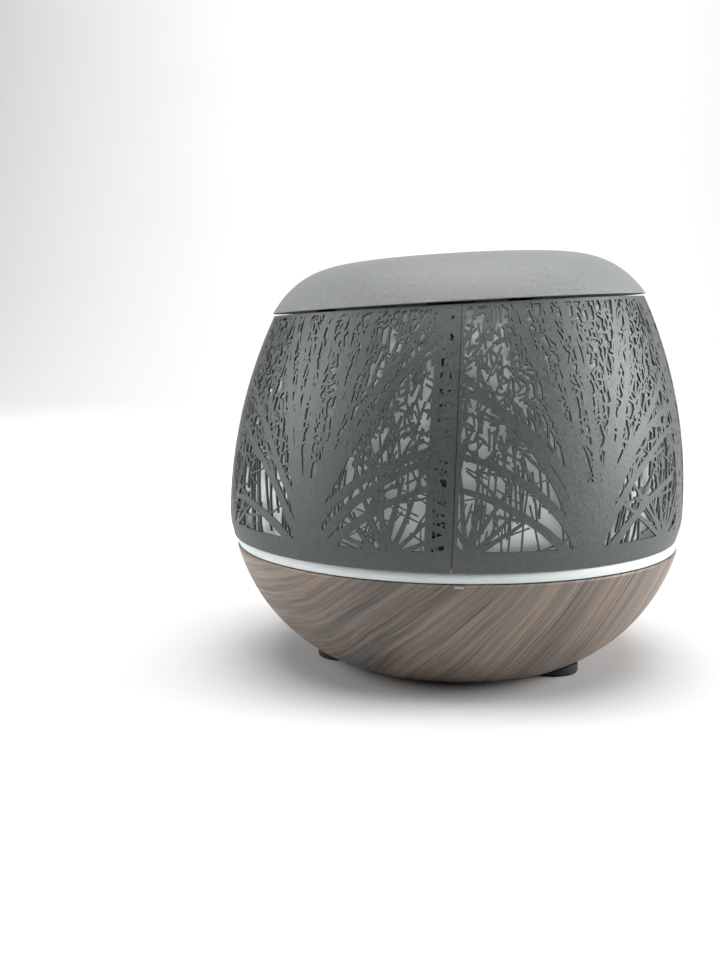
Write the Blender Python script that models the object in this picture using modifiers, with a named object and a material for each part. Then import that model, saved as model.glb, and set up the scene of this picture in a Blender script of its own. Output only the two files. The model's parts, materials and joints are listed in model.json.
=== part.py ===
"""Essential oil diffuser: a lift-off cover with a cut metal sleeve over a wood-grain base.

Metres, +Z up. The origin is on the table, under the middle of the base. The seam side faces -Y and
the buttons face +Y. Azimuths are in degrees from -Y towards +X.
"""

import math

import bmesh
import bpy
from mathutils import Matrix, Vector

CLEARANCE = 0.0003
SEGMENTS = 36
SMALL_SEGMENTS = 12
FINE_SEGMENTS = 20
SCREW_SEGMENTS = 8
# Turns the corners of a joined cylinder away from those of the turned piece it meets
CORNER_TURN = math.radians(4)

# Outer form of the cover
BODY_RADIUS = 0.0790
WIDEST_HEIGHT = 0.0540
SLEEVE_ARC = 0.1627
SLEEVE_TUCK_ARC = 0.0270
LEAN = 0.030
LEAN_START = 0.070
TOP_HEIGHT = 0.1241
TOP_SLANT = math.radians(3.1)

# Cap, mist guide and inner shell
CAP_LIP = 0.0011
CAP_RISE = 0.0162
CAP_SQUARENESS = 6
CAP_WALL = 0.0024
CAP_SHADOW_GAP = 0.0008
OUTLET_RADIUS = 0.0085
DISH_RADIUS = 0.0175
DISH_DEPTH = 0.0025
BOSS_INSET = 0.0182
BOSS_RADIUS = 0.0035
BOSS_AZIMUTHS = (30, 150, 270)
PLATE_DROP = 0.0010
PLATE_THICKNESS = 0.0018
CHIMNEY_RADIUS = 0.0090
CHIMNEY_WALL = 0.0016
CHIMNEY_MOUTH_RADIUS = 0.0155
CHIMNEY_MOUTH_HEIGHT = 0.0120
CHIMNEY_ABOVE_TANK = 0.0180
SHELL_GAP = 0.0030
SHELL_WALL = 0.0018
SHELL_FLANGE_HEIGHT = 0.0012

# Sleeve panels and their windows
SHEET = 0.0008
PANEL_COUNT = 5
SEAM_GAP = 0.0006
WINDOW_FOOT = 0.0070
BRANCH_OFFSETS = (-27, -18, -9, 9, 18, 27)
BRANCH_SPREAD = 0.10
BRANCH_WIDTH_LOW = 0.0065
BRANCH_WIDTH_HIGH = 0.0025
BRANCH_HEIGHT = 0.0480
CROWN_OFFSETS = (-26, -13, 0, 13, 26)
CROWN_WIDTH = 0.0040
CROWN_HEIGHT = 0.0090
CROWN_GAP = 0.0050

# Bowl
BOWL_RIM_INSET = 0.0018
BOWL_TOP = 0.0413
BOWL_ARC = 0.06165
BOWL_ARC_HEIGHT = 0.0572
BOWL_WALL = 0.0022
GROUND_GAP = 0.0020
FLOOR_TOP = 0.0056
OPENING_RADIUS = 0.0245
COVER_RADIUS = 0.0300
COVER_THICKNESS = 0.0016

# Light ring, gasket and tank
RING_HEIGHT = 0.0031
RING_CROWN = 0.0002
RING_WIDTH = 0.0110
GASKET_HEIGHT = 0.0010
GASKET_INSET = 0.0010
TANK_INSET = 0.0180
TANK_TOP = 0.0620
TANK_WALL = 0.0018
TANK_FLOOR = 0.0230
TANK_CURVE_WIDTH = 0.0154
FLANGE_THICKNESS = 0.0018
SUMP_RADIUS = 0.0130
SUMP_DEPTH = 0.0015
TOWER_RING = 0.0340
TOWER_RADIUS = 0.0085
TOWER_WALL = 0.0015
TOWER_TOP = 0.0560

# Atomiser
ATOMISER_RADIUS = 0.0080
ATOMISER_OPENING = 0.0060
ATOMISER_THICKNESS = 0.0008
SEAL_THICKNESS = 0.0012
SEAL_OVERHANG = 0.0008
CLAMP_WALL = 0.0020
CLAMP_FLOOR = 0.0018
CLAMP_HEAD_RADIUS = 0.0026
EAR_RING = 0.0150
EAR_RADIUS = 0.0032

# Feet and case screws
FOOT_AZIMUTHS = (57, 170, 283)
FOOT_RING = 0.0405
FOOT_RADIUS = 0.0085
FOOT_ROUND = 0.0008
PILLAR_RADIUS = 0.0045
PILLAR_TOP = 0.0130
SCREW_HOLE = 0.0018
SCREW_SHANK = 0.0015
SCREW_HEAD = 0.0030
SCREW_HEAD_HEIGHT = 0.0016

# Bottom cover screws and grille
COVER_SCREW_RING = 0.0268
COVER_SCREW_AZIMUTHS = (110, 230, 350)
COVER_BOSS_TOP = 0.0076
COVER_BOSS_RADIUS = 0.0024
COVER_HEAD_RADIUS = 0.0022
COVER_HEAD_SINK = 0.0008
POST_RADIUS = 0.0025
# How far a joined piece reaches into the one it stands on
JOIN = 0.0008
THROUGH = 0.0010
SLOT_COUNT = 7
SLOT_WIDTH = 0.0022
SLOT_PITCH = 0.0050
SLOT_INSET = 0.0030

# Fan and duct
FAN_AZIMUTH = 230
FAN_RING = 0.0280
FAN_SIZE = 0.0300
FAN_HEIGHT = 0.0100
FAN_LIFT = 0.0028
FAN_RIM = 0.0010
FAN_HUB_SHARE = 0.2167
FAN_FLOOR = 0.0012
FAN_CORNER = 0.0020
FAN_POST_INSET = 0.0030
SPOKE_HALF_WIDTH = 0.0010
BLADE_COUNT = 7
BLADE_PITCH = math.radians(38)
BLADE_HALF_CHORD = 0.0044
BLADE_HALF_THICKNESS = 0.0004
DUCT_WALL = 0.0010

# Main board
BOARD_AZIMUTH = 110
BOARD_BEHIND_JACK = 0.0365
BOARD_LENGTH = 0.0320
BOARD_WIDTH = 0.0340
BOARD_THICKNESS = 0.0014
BOARD_BOTTOM = 0.0080
# On the board: from its inner edge outwards, and across. The first screw is over the fan opening
BOARD_SCREWS = ((0.0035, -0.0130), (0.0280, 0.0125))
COIL_PLACE = (0.0115, -0.0085)
COIL_SIZE = (0.0048, 0.0036, 0.0085)
COIL_FLANGE = 0.0010
CAN_PLACE = (0.0120, 0.0085)
CAN_RADIUS = 0.0040
CAN_HEIGHT = 0.0118
CAN_CRIMP = 0.0017
TRANSISTOR_PLACE = (0.0225, -0.0115)
TRANSISTOR_SIZE = (0.0050, 0.0090, 0.0095)
JACK_SIZE = (0.0125, 0.0090, 0.0090)
JACK_SETBACK = 0.0082
JACK_NOSE_RADIUS = 0.0042
JACK_NOSE = 0.0063
JACK_BORE = 0.0032
JACK_PIN = 0.0010
JACK_DEPTH = 0.0090

# Light board
LIGHT_BOARD_BOTTOM = 0.0346
LIGHT_BOARD_THICKNESS = 0.0012
LIGHT_COUNT = 6
LIGHT_GAP = 0.0060
LIGHT_SIZE = 0.0050
LIGHT_HEIGHT = 0.0014
LEDGE_AZIMUTHS = (110, 230, 350)
LEDGE_RADIUS = 0.0025
LEDGE_INSET = 0.0005
LEDGE_BOTTOM = 0.0272

# Buttons
BUTTON_HEIGHT = 0.0210
BUTTON_SPREAD = 0.0110
BUTTON_RADIUS = 0.0048
BUTTON_FLANGE = 0.0060
BUTTON_PROUD = 0.0008
BUTTON_BODY = 0.0052
BUTTON_FLANGE_HEIGHT = 0.0010
BUTTON_TRAVEL = 0.0008
SWITCH_SIZE = 0.0060
SWITCH_HEIGHT = 0.0030
PLUNGER_RADIUS = 0.0015
PLUNGER_HEIGHT = 0.0010
BUTTON_BOARD_SIZE = (0.0320, 0.0100, 0.0012)
WINDOW_RADIUS = 0.0024
LEAD_RADIUS = 0.0007
LEAD_RISE = 0.0045
LIGHT_LEAD_TURN = 12

# Heights and radii that follow from the sizes above
RING_BOTTOM = BOWL_TOP + CLEARANCE
RING_TOP = RING_BOTTOM + RING_HEIGHT
SLEEVE_BOTTOM = RING_TOP + CLEARANCE
BOWL_RIM_RADIUS = BODY_RADIUS - BOWL_RIM_INSET
BOWL_ARC_CENTRE = BOWL_RIM_RADIUS - math.sqrt(BOWL_ARC ** 2 - (BOWL_ARC_HEIGHT - BOWL_TOP) ** 2)
FLANGE_TOP = RING_BOTTOM - GASKET_HEIGHT - 2 * CLEARANCE
FLANGE_BOTTOM = FLANGE_TOP - FLANGE_THICKNESS
CHIMNEY_FOOT = TANK_TOP + CHIMNEY_ABOVE_TANK
FAN_BOTTOM = FLOOR_TOP + FAN_LIFT
FAN_TOP = FAN_BOTTOM + FAN_HEIGHT
SUMP_BOTTOM = TANK_FLOOR - SUMP_DEPTH
BOARD_TOP = BOARD_BOTTOM + BOARD_THICKNESS
RING_INNER_RADIUS = BODY_RADIUS - RING_WIDTH
TANK_RADIUS = BODY_RADIUS - TANK_INSET
TANK_FLAT_RADIUS = TANK_RADIUS - TANK_CURVE_WIDTH
LIGHT_RING = TANK_RADIUS + LIGHT_GAP
FAN_BORE = FAN_SIZE / 2 - FAN_RIM
FAN_HUB = FAN_SIZE * FAN_HUB_SHARE


def sleeve_radius(height):
    """Outside radius of the sleeve at a height."""
    if height >= WIDEST_HEIGHT:
        arc = SLEEVE_ARC
    else:
        arc = SLEEVE_TUCK_ARC
    return BODY_RADIUS - arc + math.sqrt(arc ** 2 - (height - WIDEST_HEIGHT) ** 2)


def bowl_radius(height, inset=0.0):
    """Radius of the bowl at a height, inset from its outside along its wall."""
    return BOWL_ARC_CENTRE + math.sqrt((BOWL_ARC - inset) ** 2 - (BOWL_ARC_HEIGHT - height) ** 2)


BOSS_RING = sleeve_radius(TOP_HEIGHT) + CAP_LIP - BOSS_INSET
LEDGE_RING = bowl_radius(LEDGE_BOTTOM, BOWL_WALL) - LEDGE_INSET
JACK_HEIGHT = BOARD_TOP + CLEARANCE + JACK_SIZE[2] / 2
JACK_FRONT = bowl_radius(JACK_HEIGHT, BOWL_WALL) - JACK_SETBACK
JACK_NOSE_END = JACK_FRONT + JACK_NOSE
BOARD_INNER = JACK_FRONT - BOARD_BEHIND_JACK


def cap_height(radius, edge, rise):
    """Height of a cap surface above its edge plane."""
    return rise * (1 - (radius / edge) ** CAP_SQUARENESS)


def spread(first, last, count):
    """Evenly spaced values from first to last, both included."""
    return [first + (last - first) * step / (count - 1) for step in range(count)]


def facing(azimuth):
    """Turn about Z that points local +X along an azimuth."""
    return Matrix.Rotation(math.radians(azimuth - 90), 4, "Z")


def place(azimuth, radius, height=0.0):
    """Matrix at a radius and height, with local +X pointing outwards."""
    return facing(azimuth) @ Matrix.Translation((radius, 0, height))


def make_collection(name):
    collection = bpy.data.collections.new(name)
    bpy.context.scene.collection.children.link(collection)
    return collection


def make_material(name, colour, roughness, metallic=0.0, alpha=1.0):
    material = bpy.data.materials.new(name)
    material.use_nodes = True
    shader = material.node_tree.nodes["Principled BSDF"]
    shader.inputs["Base Color"].default_value = (*colour, 1)
    shader.inputs["Roughness"].default_value = roughness
    shader.inputs["Metallic"].default_value = metallic
    shader.inputs["Alpha"].default_value = alpha
    material.diffuse_color = (*colour, alpha)
    return material


def finish_object(name, mesh, material):
    """Put a mesh in the model as a part, or in the tools collection when it has no material."""
    item = bpy.data.objects.new(name, mesh)
    if material is None:
        TOOLS.objects.link(item)
        item.hide_render = True
        item.display_type = "WIRE"
    else:
        PARTS.objects.link(item)
        mesh.materials.append(material)
    return item


def from_bmesh(name, shape, material=None, smooth=False):
    mesh = bpy.data.meshes.new(name)
    bmesh.ops.recalc_face_normals(shape, faces=shape.faces)
    shape.to_mesh(mesh)
    shape.free()
    if smooth:
        mesh.shade_smooth()
        mesh.set_sharp_from_angle(angle=math.radians(35))
    return finish_object(name, mesh, material)


def add_cylinder(
    shape, radius, bottom, top, at=None, segments=SMALL_SEGMENTS, top_radius=None, turn=CORNER_TURN
):
    middle = Matrix.Translation((0, 0, (bottom + top) / 2)) @ Matrix.Rotation(turn, 4, "Z")
    bmesh.ops.create_cone(
        shape,
        cap_ends=True,
        segments=segments,
        radius1=radius,
        radius2=radius if top_radius is None else top_radius,
        depth=top - bottom,
        matrix=(at or Matrix()) @ middle,
    )


def add_box(shape, low, high, at=None):
    low, high = Vector(low), Vector(high)
    size = Matrix.Diagonal((*(high - low), 1))
    middle = Matrix.Translation((low + high) / 2)
    bmesh.ops.create_cube(shape, size=1, matrix=(at or Matrix()) @ middle @ size)


def cylinder(name, radius, bottom, top, material, at=None, segments=SMALL_SEGMENTS):
    shape = bmesh.new()
    add_cylinder(shape, radius, bottom, top, at, segments)
    return from_bmesh(name, shape, material, smooth=True)


def box(name, low, high, material, at=None, bevel=0.0):
    shape = bmesh.new()
    add_box(shape, low, high, at)
    item = from_bmesh(name, shape, material)
    if bevel:
        edge = item.modifiers.new("rounded_edges", "BEVEL")
        edge.width = bevel
        edge.segments = 1
    return item


def turned(name, profile, material=None, closed=True, segments=SEGMENTS, angle=360.0):
    """A profile of (radius, height) points turned about Z. It runs down its outer side."""
    mesh = bpy.data.meshes.new(name)
    edges = [(index, index + 1) for index in range(len(profile) - 1)]
    if closed:
        edges.append((len(profile) - 1, 0))
    mesh.from_pydata([(radius, 0, height) for radius, height in profile], edges, [])
    item = finish_object(name, mesh, material)
    screw = item.modifiers.new("turn", "SCREW")
    screw.angle = math.radians(angle)
    screw.steps = segments
    screw.render_steps = segments
    screw.use_merge_vertices = angle == 360.0
    screw.merge_threshold = 0.00001
    return item


def combine(item, tool, operation):
    cut = item.modifiers.new(tool.name, "BOOLEAN")
    cut.operation = operation
    cut.object = tool
    cut.solver = "EXACT"
    cut.use_self = True


def baked(item, change):
    """Replace an object by its finished mesh, moved into the world and then changed by a matrix."""
    bpy.context.view_layer.update()
    finished = item.evaluated_get(bpy.context.evaluated_depsgraph_get())
    mesh = bpy.data.meshes.new_from_object(finished)
    mesh.transform(change @ item.matrix_world)
    name = item.name
    home = item.users_collection[0]
    bpy.data.objects.remove(item)
    result = bpy.data.objects.new(name, mesh)
    home.objects.link(result)
    return result


def screw(name, head_bottom, tip, material, at, head=SCREW_HEAD, shank=SCREW_SHANK):
    """A pan-head screw that points up, with a cross cut in its head."""
    head_top = head_bottom + SCREW_HEAD_HEIGHT
    profile = [(0, tip), (shank, tip - shank / 2), (shank, head_top), (head, head_top)]
    profile += [(head, head_bottom + SCREW_HEAD_HEIGHT / 3), (head * 0.8, head_bottom), (0, head_bottom)]
    item = turned(name, profile, material, closed=False, segments=SCREW_SEGMENTS)
    item.matrix_world = at
    shape = bmesh.new()
    arm = head * 0.6
    slot = head * 0.13
    depth = SCREW_HEAD_HEIGHT * 0.45
    add_box(shape, (-arm, -slot, -depth), (arm, slot, depth))
    cross = from_bmesh(name + "_slot", shape)
    cross.matrix_world = at @ Matrix.Translation((0, 0, head_bottom))
    combine(item, cross, "DIFFERENCE")
    return item


def lead(name, points, material):
    """A round lead along a smooth curve through its points."""
    curve = bpy.data.curves.new(name, "CURVE")
    curve.dimensions = "3D"
    curve.bevel_depth = LEAD_RADIUS
    curve.bevel_resolution = 1
    curve.use_fill_caps = True
    path = smooth_route([Vector(point) for point in points])
    spline = curve.splines.new("POLY")
    spline.points.add(len(path) - 1)
    for slot, point in zip(spline.points, path):
        slot.co = (*point, 1)
    curve.materials.append(material)
    item = bpy.data.objects.new(name, curve)
    PARTS.objects.link(item)
    return item


def smooth_route(points, steps=3):
    """Points on a Catmull-Rom curve through the given ones."""
    ends = [2 * points[0] - points[1], *points, 2 * points[-1] - points[-2]]
    route = []
    for before, start, end, after in zip(ends, ends[1:], ends[2:], ends[3:]):
        for step in range(steps):
            t = step / steps
            route.append(
                0.5
                * (
                    2 * start
                    + (end - before) * t
                    + (2 * before - 5 * start + 4 * end - after) * t ** 2
                    + (3 * start - before - 3 * end + after) * t ** 3
                )
            )
    return route + [points[-1]]


def lean_matrix():
    """Shear that moves the cover's rings towards +X with height."""
    matrix = Matrix()
    matrix[0][2] = LEAN
    matrix[0][3] = -LEAN * LEAN_START
    return matrix


def top_frame(offset=0.0):
    """The slanted plane that the cover ends in, moved along its normal."""
    slant = Matrix.Rotation(-TOP_SLANT, 4, "Y")
    return Matrix.Translation((0, 0, TOP_HEIGHT)) @ slant @ Matrix.Translation((0, 0, offset))


def above_top(name, offset):
    """A block that takes away all that is above the slanted plane."""
    shape = bmesh.new()
    reach = BODY_RADIUS * 1.2
    add_box(shape, (-reach, -reach, 0), (reach, reach, reach))
    block = from_bmesh(name, shape)
    block.matrix_world = top_frame(offset)
    return block


def build_cap():
    edge = sleeve_radius(TOP_HEIGHT) + CAP_LIP
    inner_edge = edge - CAP_WALL
    inner_rise = CAP_RISE - CAP_WALL
    dish = cap_height(DISH_RADIUS, edge, CAP_RISE) - DISH_DEPTH
    steps = spread(0, 1, 10)
    outer = [edge * math.sqrt(1 - step) for step in steps]
    outer = [radius for radius in outer if radius > DISH_RADIUS * 1.15]
    inner = [radius - CAP_WALL for radius in outer]
    profile = [(OUTLET_RADIUS, dish), (DISH_RADIUS - DISH_DEPTH, dish)]
    profile.append((DISH_RADIUS, cap_height(DISH_RADIUS, edge, CAP_RISE)))
    profile += [(radius, cap_height(radius, edge, CAP_RISE)) for radius in reversed(outer)]
    profile += [(radius, cap_height(radius, inner_edge, inner_rise)) for radius in inner]
    profile += [(DISH_RADIUS, dish - CAP_WALL), (OUTLET_RADIUS, dish - CAP_WALL)]
    cap = turned("top_cap", profile, CAP_PAINT)
    cap.matrix_world = top_frame()

    bosses = bmesh.new()
    holes = bmesh.new()
    boss_top = cap_height(BOSS_RING + BOSS_RADIUS, edge, CAP_RISE) - CAP_WALL / 3
    boss_bottom = CLEARANCE - PLATE_DROP
    for azimuth in BOSS_AZIMUTHS:
        at = place(azimuth, BOSS_RING)
        add_cylinder(bosses, BOSS_RADIUS, boss_bottom, boss_top, at)
        add_cylinder(holes, SCREW_HOLE, boss_bottom - 0.001, boss_bottom + 0.0085, at)
    changes = (("cap_bosses", bosses, "UNION"), ("cap_holes", holes, "DIFFERENCE"))
    for tool_name, shape, operation in changes:
        tool = from_bmesh(tool_name, shape)
        tool.matrix_world = top_frame()
        combine(cap, tool, operation)
    return dish - CAP_WALL - CLEARANCE


def build_mist_guide(chimney_top):
    plate = sleeve_radius(TOP_HEIGHT) - SHEET - SHELL_GAP - CLEARANCE
    top = -PLATE_DROP
    bottom = top - PLATE_THICKNESS
    outer = CHIMNEY_RADIUS + CHIMNEY_WALL
    mouth = CHIMNEY_FOOT - TOP_HEIGHT
    neck = mouth + CHIMNEY_MOUTH_HEIGHT
    flare = (CHIMNEY_RADIUS + CHIMNEY_MOUTH_RADIUS) / 2.2
    profile = [(outer, chimney_top), (outer, top), (plate, top), (plate, bottom), (outer, bottom)]
    profile += [(outer, neck), (flare + CHIMNEY_WALL, (neck + mouth) / 2)]
    profile += [(CHIMNEY_MOUTH_RADIUS + CHIMNEY_WALL, mouth), (CHIMNEY_MOUTH_RADIUS, mouth)]
    profile += [(flare, (neck + mouth) / 2), (CHIMNEY_RADIUS, neck), (CHIMNEY_RADIUS, chimney_top)]
    guide = turned("mist_guide", profile, WHITE_PLASTIC)
    guide.matrix_world = top_frame()
    holes = bmesh.new()
    for azimuth in BOSS_AZIMUTHS:
        add_cylinder(holes, SCREW_HOLE, bottom - 0.001, top + 0.001, place(azimuth, BOSS_RING))
    tool = from_bmesh("mist_guide_holes", holes)
    tool.matrix_world = top_frame()
    combine(guide, tool, "DIFFERENCE")
    for number, azimuth in enumerate(BOSS_AZIMUTHS, 1):
        head_bottom = bottom - CLEARANCE - SCREW_HEAD_HEIGHT
        at = top_frame() @ place(azimuth, BOSS_RING)
        screw(f"cap_screw_{number}", head_bottom, top + 0.0078, STEEL, at)


def build_inner_shell():
    inset = SHEET + SHELL_GAP
    top = TOP_HEIGHT + BODY_RADIUS * math.tan(TOP_SLANT)
    flange_top = SLEEVE_BOTTOM + SHELL_FLANGE_HEIGHT
    flange = sleeve_radius(SLEEVE_BOTTOM) - SHEET - CLEARANCE
    heights = spread(top, flange_top, 7)
    profile = [(sleeve_radius(height) - inset, height) for height in heights]
    profile += [(flange, flange_top), (flange, SLEEVE_BOTTOM)]
    heights[-1] = SLEEVE_BOTTOM
    profile += [(sleeve_radius(height) - inset - SHELL_WALL, height) for height in reversed(heights)]
    shell = baked(turned("inner_shell", profile, FROSTED), lean_matrix())
    drop = PLATE_DROP + PLATE_THICKNESS + CLEARANCE
    combine(shell, above_top("inner_shell_top", -drop), "DIFFERENCE")


def window_tools(number, middle):
    """The windows of one sleeve panel: upright branch gaps on both sides of a trunk, and a crown."""
    shape = bmesh.new()
    foot = SLEEVE_BOTTOM + WINDOW_FOOT
    middle_height = foot + BRANCH_HEIGHT / 2
    deepen = Matrix.Diagonal((7, 1, 1, 1)) @ Matrix.Rotation(math.radians(45), 4, "Z")
    for offset in BRANCH_OFFSETS:
        lean = Matrix.Rotation(-BRANCH_SPREAD * offset / max(BRANCH_OFFSETS), 4, "X")
        at = place(middle + offset, BODY_RADIUS, middle_height) @ lean @ deepen
        half = BRANCH_HEIGHT / 2
        low, high = BRANCH_WIDTH_LOW / math.sqrt(2), BRANCH_WIDTH_HIGH / math.sqrt(2)
        add_cylinder(shape, low, -half, half, at, segments=4, top_radius=high, turn=0)
    crown_bottom = foot + BRANCH_HEIGHT + CROWN_GAP
    for offset in CROWN_OFFSETS:
        at = place(middle + offset, sleeve_radius(crown_bottom), 0)
        half = CROWN_WIDTH / 2
        low, high = (-0.012, -half, crown_bottom), (0.012, half, crown_bottom + CROWN_HEIGHT)
        add_box(shape, low, high, at)
    return from_bmesh(f"windows_{number}", shape)


def build_sleeve():
    step = 360 / PANEL_COUNT
    seam = math.degrees(SEAM_GAP / BODY_RADIUS)
    top = TOP_HEIGHT + BODY_RADIUS * math.tan(TOP_SLANT)
    heights = spread(top, WIDEST_HEIGHT, 6) + spread(WIDEST_HEIGHT, SLEEVE_BOTTOM, 3)[1:]
    profile = [(sleeve_radius(height), height) for height in heights]
    top_cut = above_top("sleeve_top", -CAP_SHADOW_GAP)
    for number in range(1, PANEL_COUNT + 1):
        start = step * (number - 1)
        name = f"sleeve_panel_{number}"
        panel = turned(name, profile, SLEEVE_PAINT, closed=False, segments=8, angle=step - seam)
        panel.matrix_world = facing(start + seam / 2)
        sheet = panel.modifiers.new("sheet", "SOLIDIFY")
        sheet.thickness = SHEET
        sheet.offset = -1
        panel = baked(panel, lean_matrix())
        combine(panel, top_cut, "DIFFERENCE")
        combine(panel, window_tools(number, start + step / 2), "DIFFERENCE")


def bowl_profile(offset=0.0):
    """Outside of the bowl from its rim to its flat bottom."""
    heights = spread(BOWL_TOP, GROUND_GAP, 8)
    return [(bowl_radius(height) + offset, height - offset) for height in heights]


def button_frame(across):
    """Frame on the bowl's rear wall, with local +Z pointing out along the wall's normal."""
    radius = bowl_radius(BUTTON_HEIGHT)
    down = math.asin((BOWL_ARC_HEIGHT - BUTTON_HEIGHT) / BOWL_ARC)
    sink = across ** 2 / (2 * radius) * math.cos(down)
    normal = Matrix.Rotation(-math.pi / 2 - down, 4, "X")
    return Matrix.Translation((across, radius, BUTTON_HEIGHT)) @ normal @ Matrix.Translation((0, 0, -sink))


def jack_frame():
    """Frame on the power jack's axis, with local +Z pointing out of the bowl."""
    return place(BOARD_AZIMUTH, 0, JACK_HEIGHT) @ Matrix.Rotation(math.pi / 2, 4, "Y")


def board_frame():
    """Frame at the middle of the main board's inner edge, with local +X pointing outwards."""
    return place(BOARD_AZIMUTH, BOARD_INNER)


def build_bowl():
    profile = bowl_profile()
    ledge = GROUND_GAP + COVER_THICKNESS + CLEARANCE
    cover_hole = COVER_RADIUS + CLEARANCE
    profile += [(cover_hole, GROUND_GAP), (cover_hole, ledge), (OPENING_RADIUS, ledge)]
    profile.append((OPENING_RADIUS, FLOOR_TOP))
    heights = spread(FLOOR_TOP, BOWL_TOP, 7)
    profile += [(bowl_radius(height, BOWL_WALL), height) for height in heights]
    bowl = turned("base_bowl", profile, WOOD)

    posts = bmesh.new()
    holes = bmesh.new()
    head_room = GROUND_GAP + SCREW_HEAD_HEIGHT + 2 * CLEARANCE
    for azimuth in FOOT_AZIMUTHS:
        at = place(azimuth, FOOT_RING)
        add_cylinder(posts, PILLAR_RADIUS, FLOOR_TOP - JOIN, PILLAR_TOP, at)
        add_cylinder(holes, SCREW_HOLE, 0, PILLAR_TOP + THROUGH, at)
        add_cylinder(holes, SCREW_HEAD + CLEARANCE, 0, head_room, at)
    for azimuth in COVER_SCREW_AZIMUTHS:
        at = place(azimuth, COVER_SCREW_RING)
        add_cylinder(posts, COVER_BOSS_RADIUS, FLOOR_TOP - JOIN, COVER_BOSS_TOP, at)
        add_cylinder(holes, SCREW_SHANK, 0, COVER_BOSS_TOP - JOIN, at)
    at = board_frame() @ Matrix.Translation((*BOARD_SCREWS[1], 0))
    add_cylinder(posts, POST_RADIUS, FLOOR_TOP - JOIN, BOARD_BOTTOM - CLEARANCE, at)
    add_cylinder(holes, SCREW_SHANK, FLOOR_TOP, BOARD_BOTTOM, at)
    half = FAN_SIZE / 2 - FAN_POST_INSET
    for out in (FAN_RING - POST_RADIUS, FAN_RING + half):
        for across in (-half, half):
            at = facing(FAN_AZIMUTH) @ Matrix.Translation((out, across, 0))
            add_cylinder(posts, POST_RADIUS, FLOOR_TOP - JOIN, FAN_BOTTOM - CLEARANCE, at)
    for azimuth in LEDGE_AZIMUTHS:
        at = place(azimuth, LEDGE_RING)
        add_cylinder(posts, LEDGE_RADIUS, LEDGE_BOTTOM, LIGHT_BOARD_BOTTOM - CLEARANCE, at)
    for across in (-BUTTON_SPREAD, BUTTON_SPREAD):
        add_cylinder(holes, BUTTON_RADIUS + CLEARANCE, -0.008, 0.008, button_frame(across))
    add_cylinder(holes, WINDOW_RADIUS + CLEARANCE, -0.006, 0.006, button_frame(0))
    add_cylinder(holes, JACK_NOSE_RADIUS + CLEARANCE, JACK_FRONT, BODY_RADIUS, jack_frame())
    combine(bowl, from_bmesh("bowl_posts", posts), "UNION")
    combine(bowl, from_bmesh("bowl_holes", holes), "DIFFERENCE")


def build_feet():
    form = bowl_profile(CLEARANCE)
    form = [(0, BOWL_TOP), *form, (0, GROUND_GAP - CLEARANCE)]
    room = turned("bowl_room", form, closed=False)
    for number, azimuth in enumerate(FOOT_AZIMUTHS, 1):
        at = place(azimuth, FOOT_RING)
        shape = bmesh.new()
        add_cylinder(shape, FOOT_RADIUS, 0, GROUND_GAP * 3, segments=FINE_SEGMENTS)
        bottom = [edge for edge in shape.edges if all(vert.co.z < CLEARANCE for vert in edge.verts)]
        bmesh.ops.bevel(
            shape, geom=bottom, offset=FOOT_ROUND, segments=2, profile=0.5, affect="EDGES", material=-1
        )
        foot = from_bmesh(f"rubber_foot_{number}", shape, RUBBER)
        foot.matrix_world = at
        combine(foot, room, "DIFFERENCE")
        head_bottom = GROUND_GAP + CLEARANCE
        screw(f"case_screw_{number}", head_bottom, TANK_FLOOR - 0.0012, STEEL, at)


def build_bottom_cover():
    top = GROUND_GAP + COVER_THICKNESS
    cover = cylinder("bottom_cover", COVER_RADIUS, GROUND_GAP, top, DARK_PLASTIC, segments=SEGMENTS)
    cuts = bmesh.new()
    for azimuth in COVER_SCREW_AZIMUTHS:
        at = place(azimuth, COVER_SCREW_RING)
        add_cylinder(cuts, SCREW_SHANK, 0, top + THROUGH, at)
        add_cylinder(cuts, COVER_HEAD_RADIUS + CLEARANCE, 0, GROUND_GAP + COVER_HEAD_SINK, at)
    for index in range(SLOT_COUNT):
        across = (index - (SLOT_COUNT - 1) / 2) * SLOT_PITCH
        half = math.sqrt((OPENING_RADIUS - SLOT_INSET) ** 2 - across ** 2)
        low = (across - SLOT_WIDTH / 2, -half, 0)
        high = (across + SLOT_WIDTH / 2, half, top + THROUGH)
        add_box(cuts, low, high, facing(FAN_AZIMUTH))
    combine(cover, from_bmesh("bottom_cover_cuts", cuts), "DIFFERENCE")
    shank = SCREW_SHANK - CLEARANCE
    for number, azimuth in enumerate(COVER_SCREW_AZIMUTHS, 1):
        at = place(azimuth, COVER_SCREW_RING)
        head_bottom = GROUND_GAP + COVER_HEAD_SINK - CLEARANCE - SCREW_HEAD_HEIGHT
        tip = COVER_BOSS_TOP - JOIN - CLEARANCE
        name = f"bottom_screw_{number}"
        screw(name, head_bottom, tip, STEEL, at, head=COVER_HEAD_RADIUS, shank=shank)


def build_ring_and_gasket():
    outer = bowl_radius(BOWL_TOP) - CLEARANCE
    inner = RING_INNER_RADIUS
    edge = outer - RING_CROWN
    profile = [(edge, RING_TOP), (outer, (RING_TOP + RING_BOTTOM) / 2), (edge, RING_BOTTOM)]
    profile += [(inner, RING_BOTTOM), (inner, RING_TOP)]
    turned("light_ring", profile, FROSTED)
    top = RING_BOTTOM - CLEARANCE
    bottom = top - GASKET_HEIGHT
    wide = bowl_radius(bottom, BOWL_WALL) - CLEARANCE
    narrow = inner + GASKET_INSET
    turned("tank_gasket", [(wide, top), (wide, bottom), (narrow, bottom), (narrow, top)], SILICONE)


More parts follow.
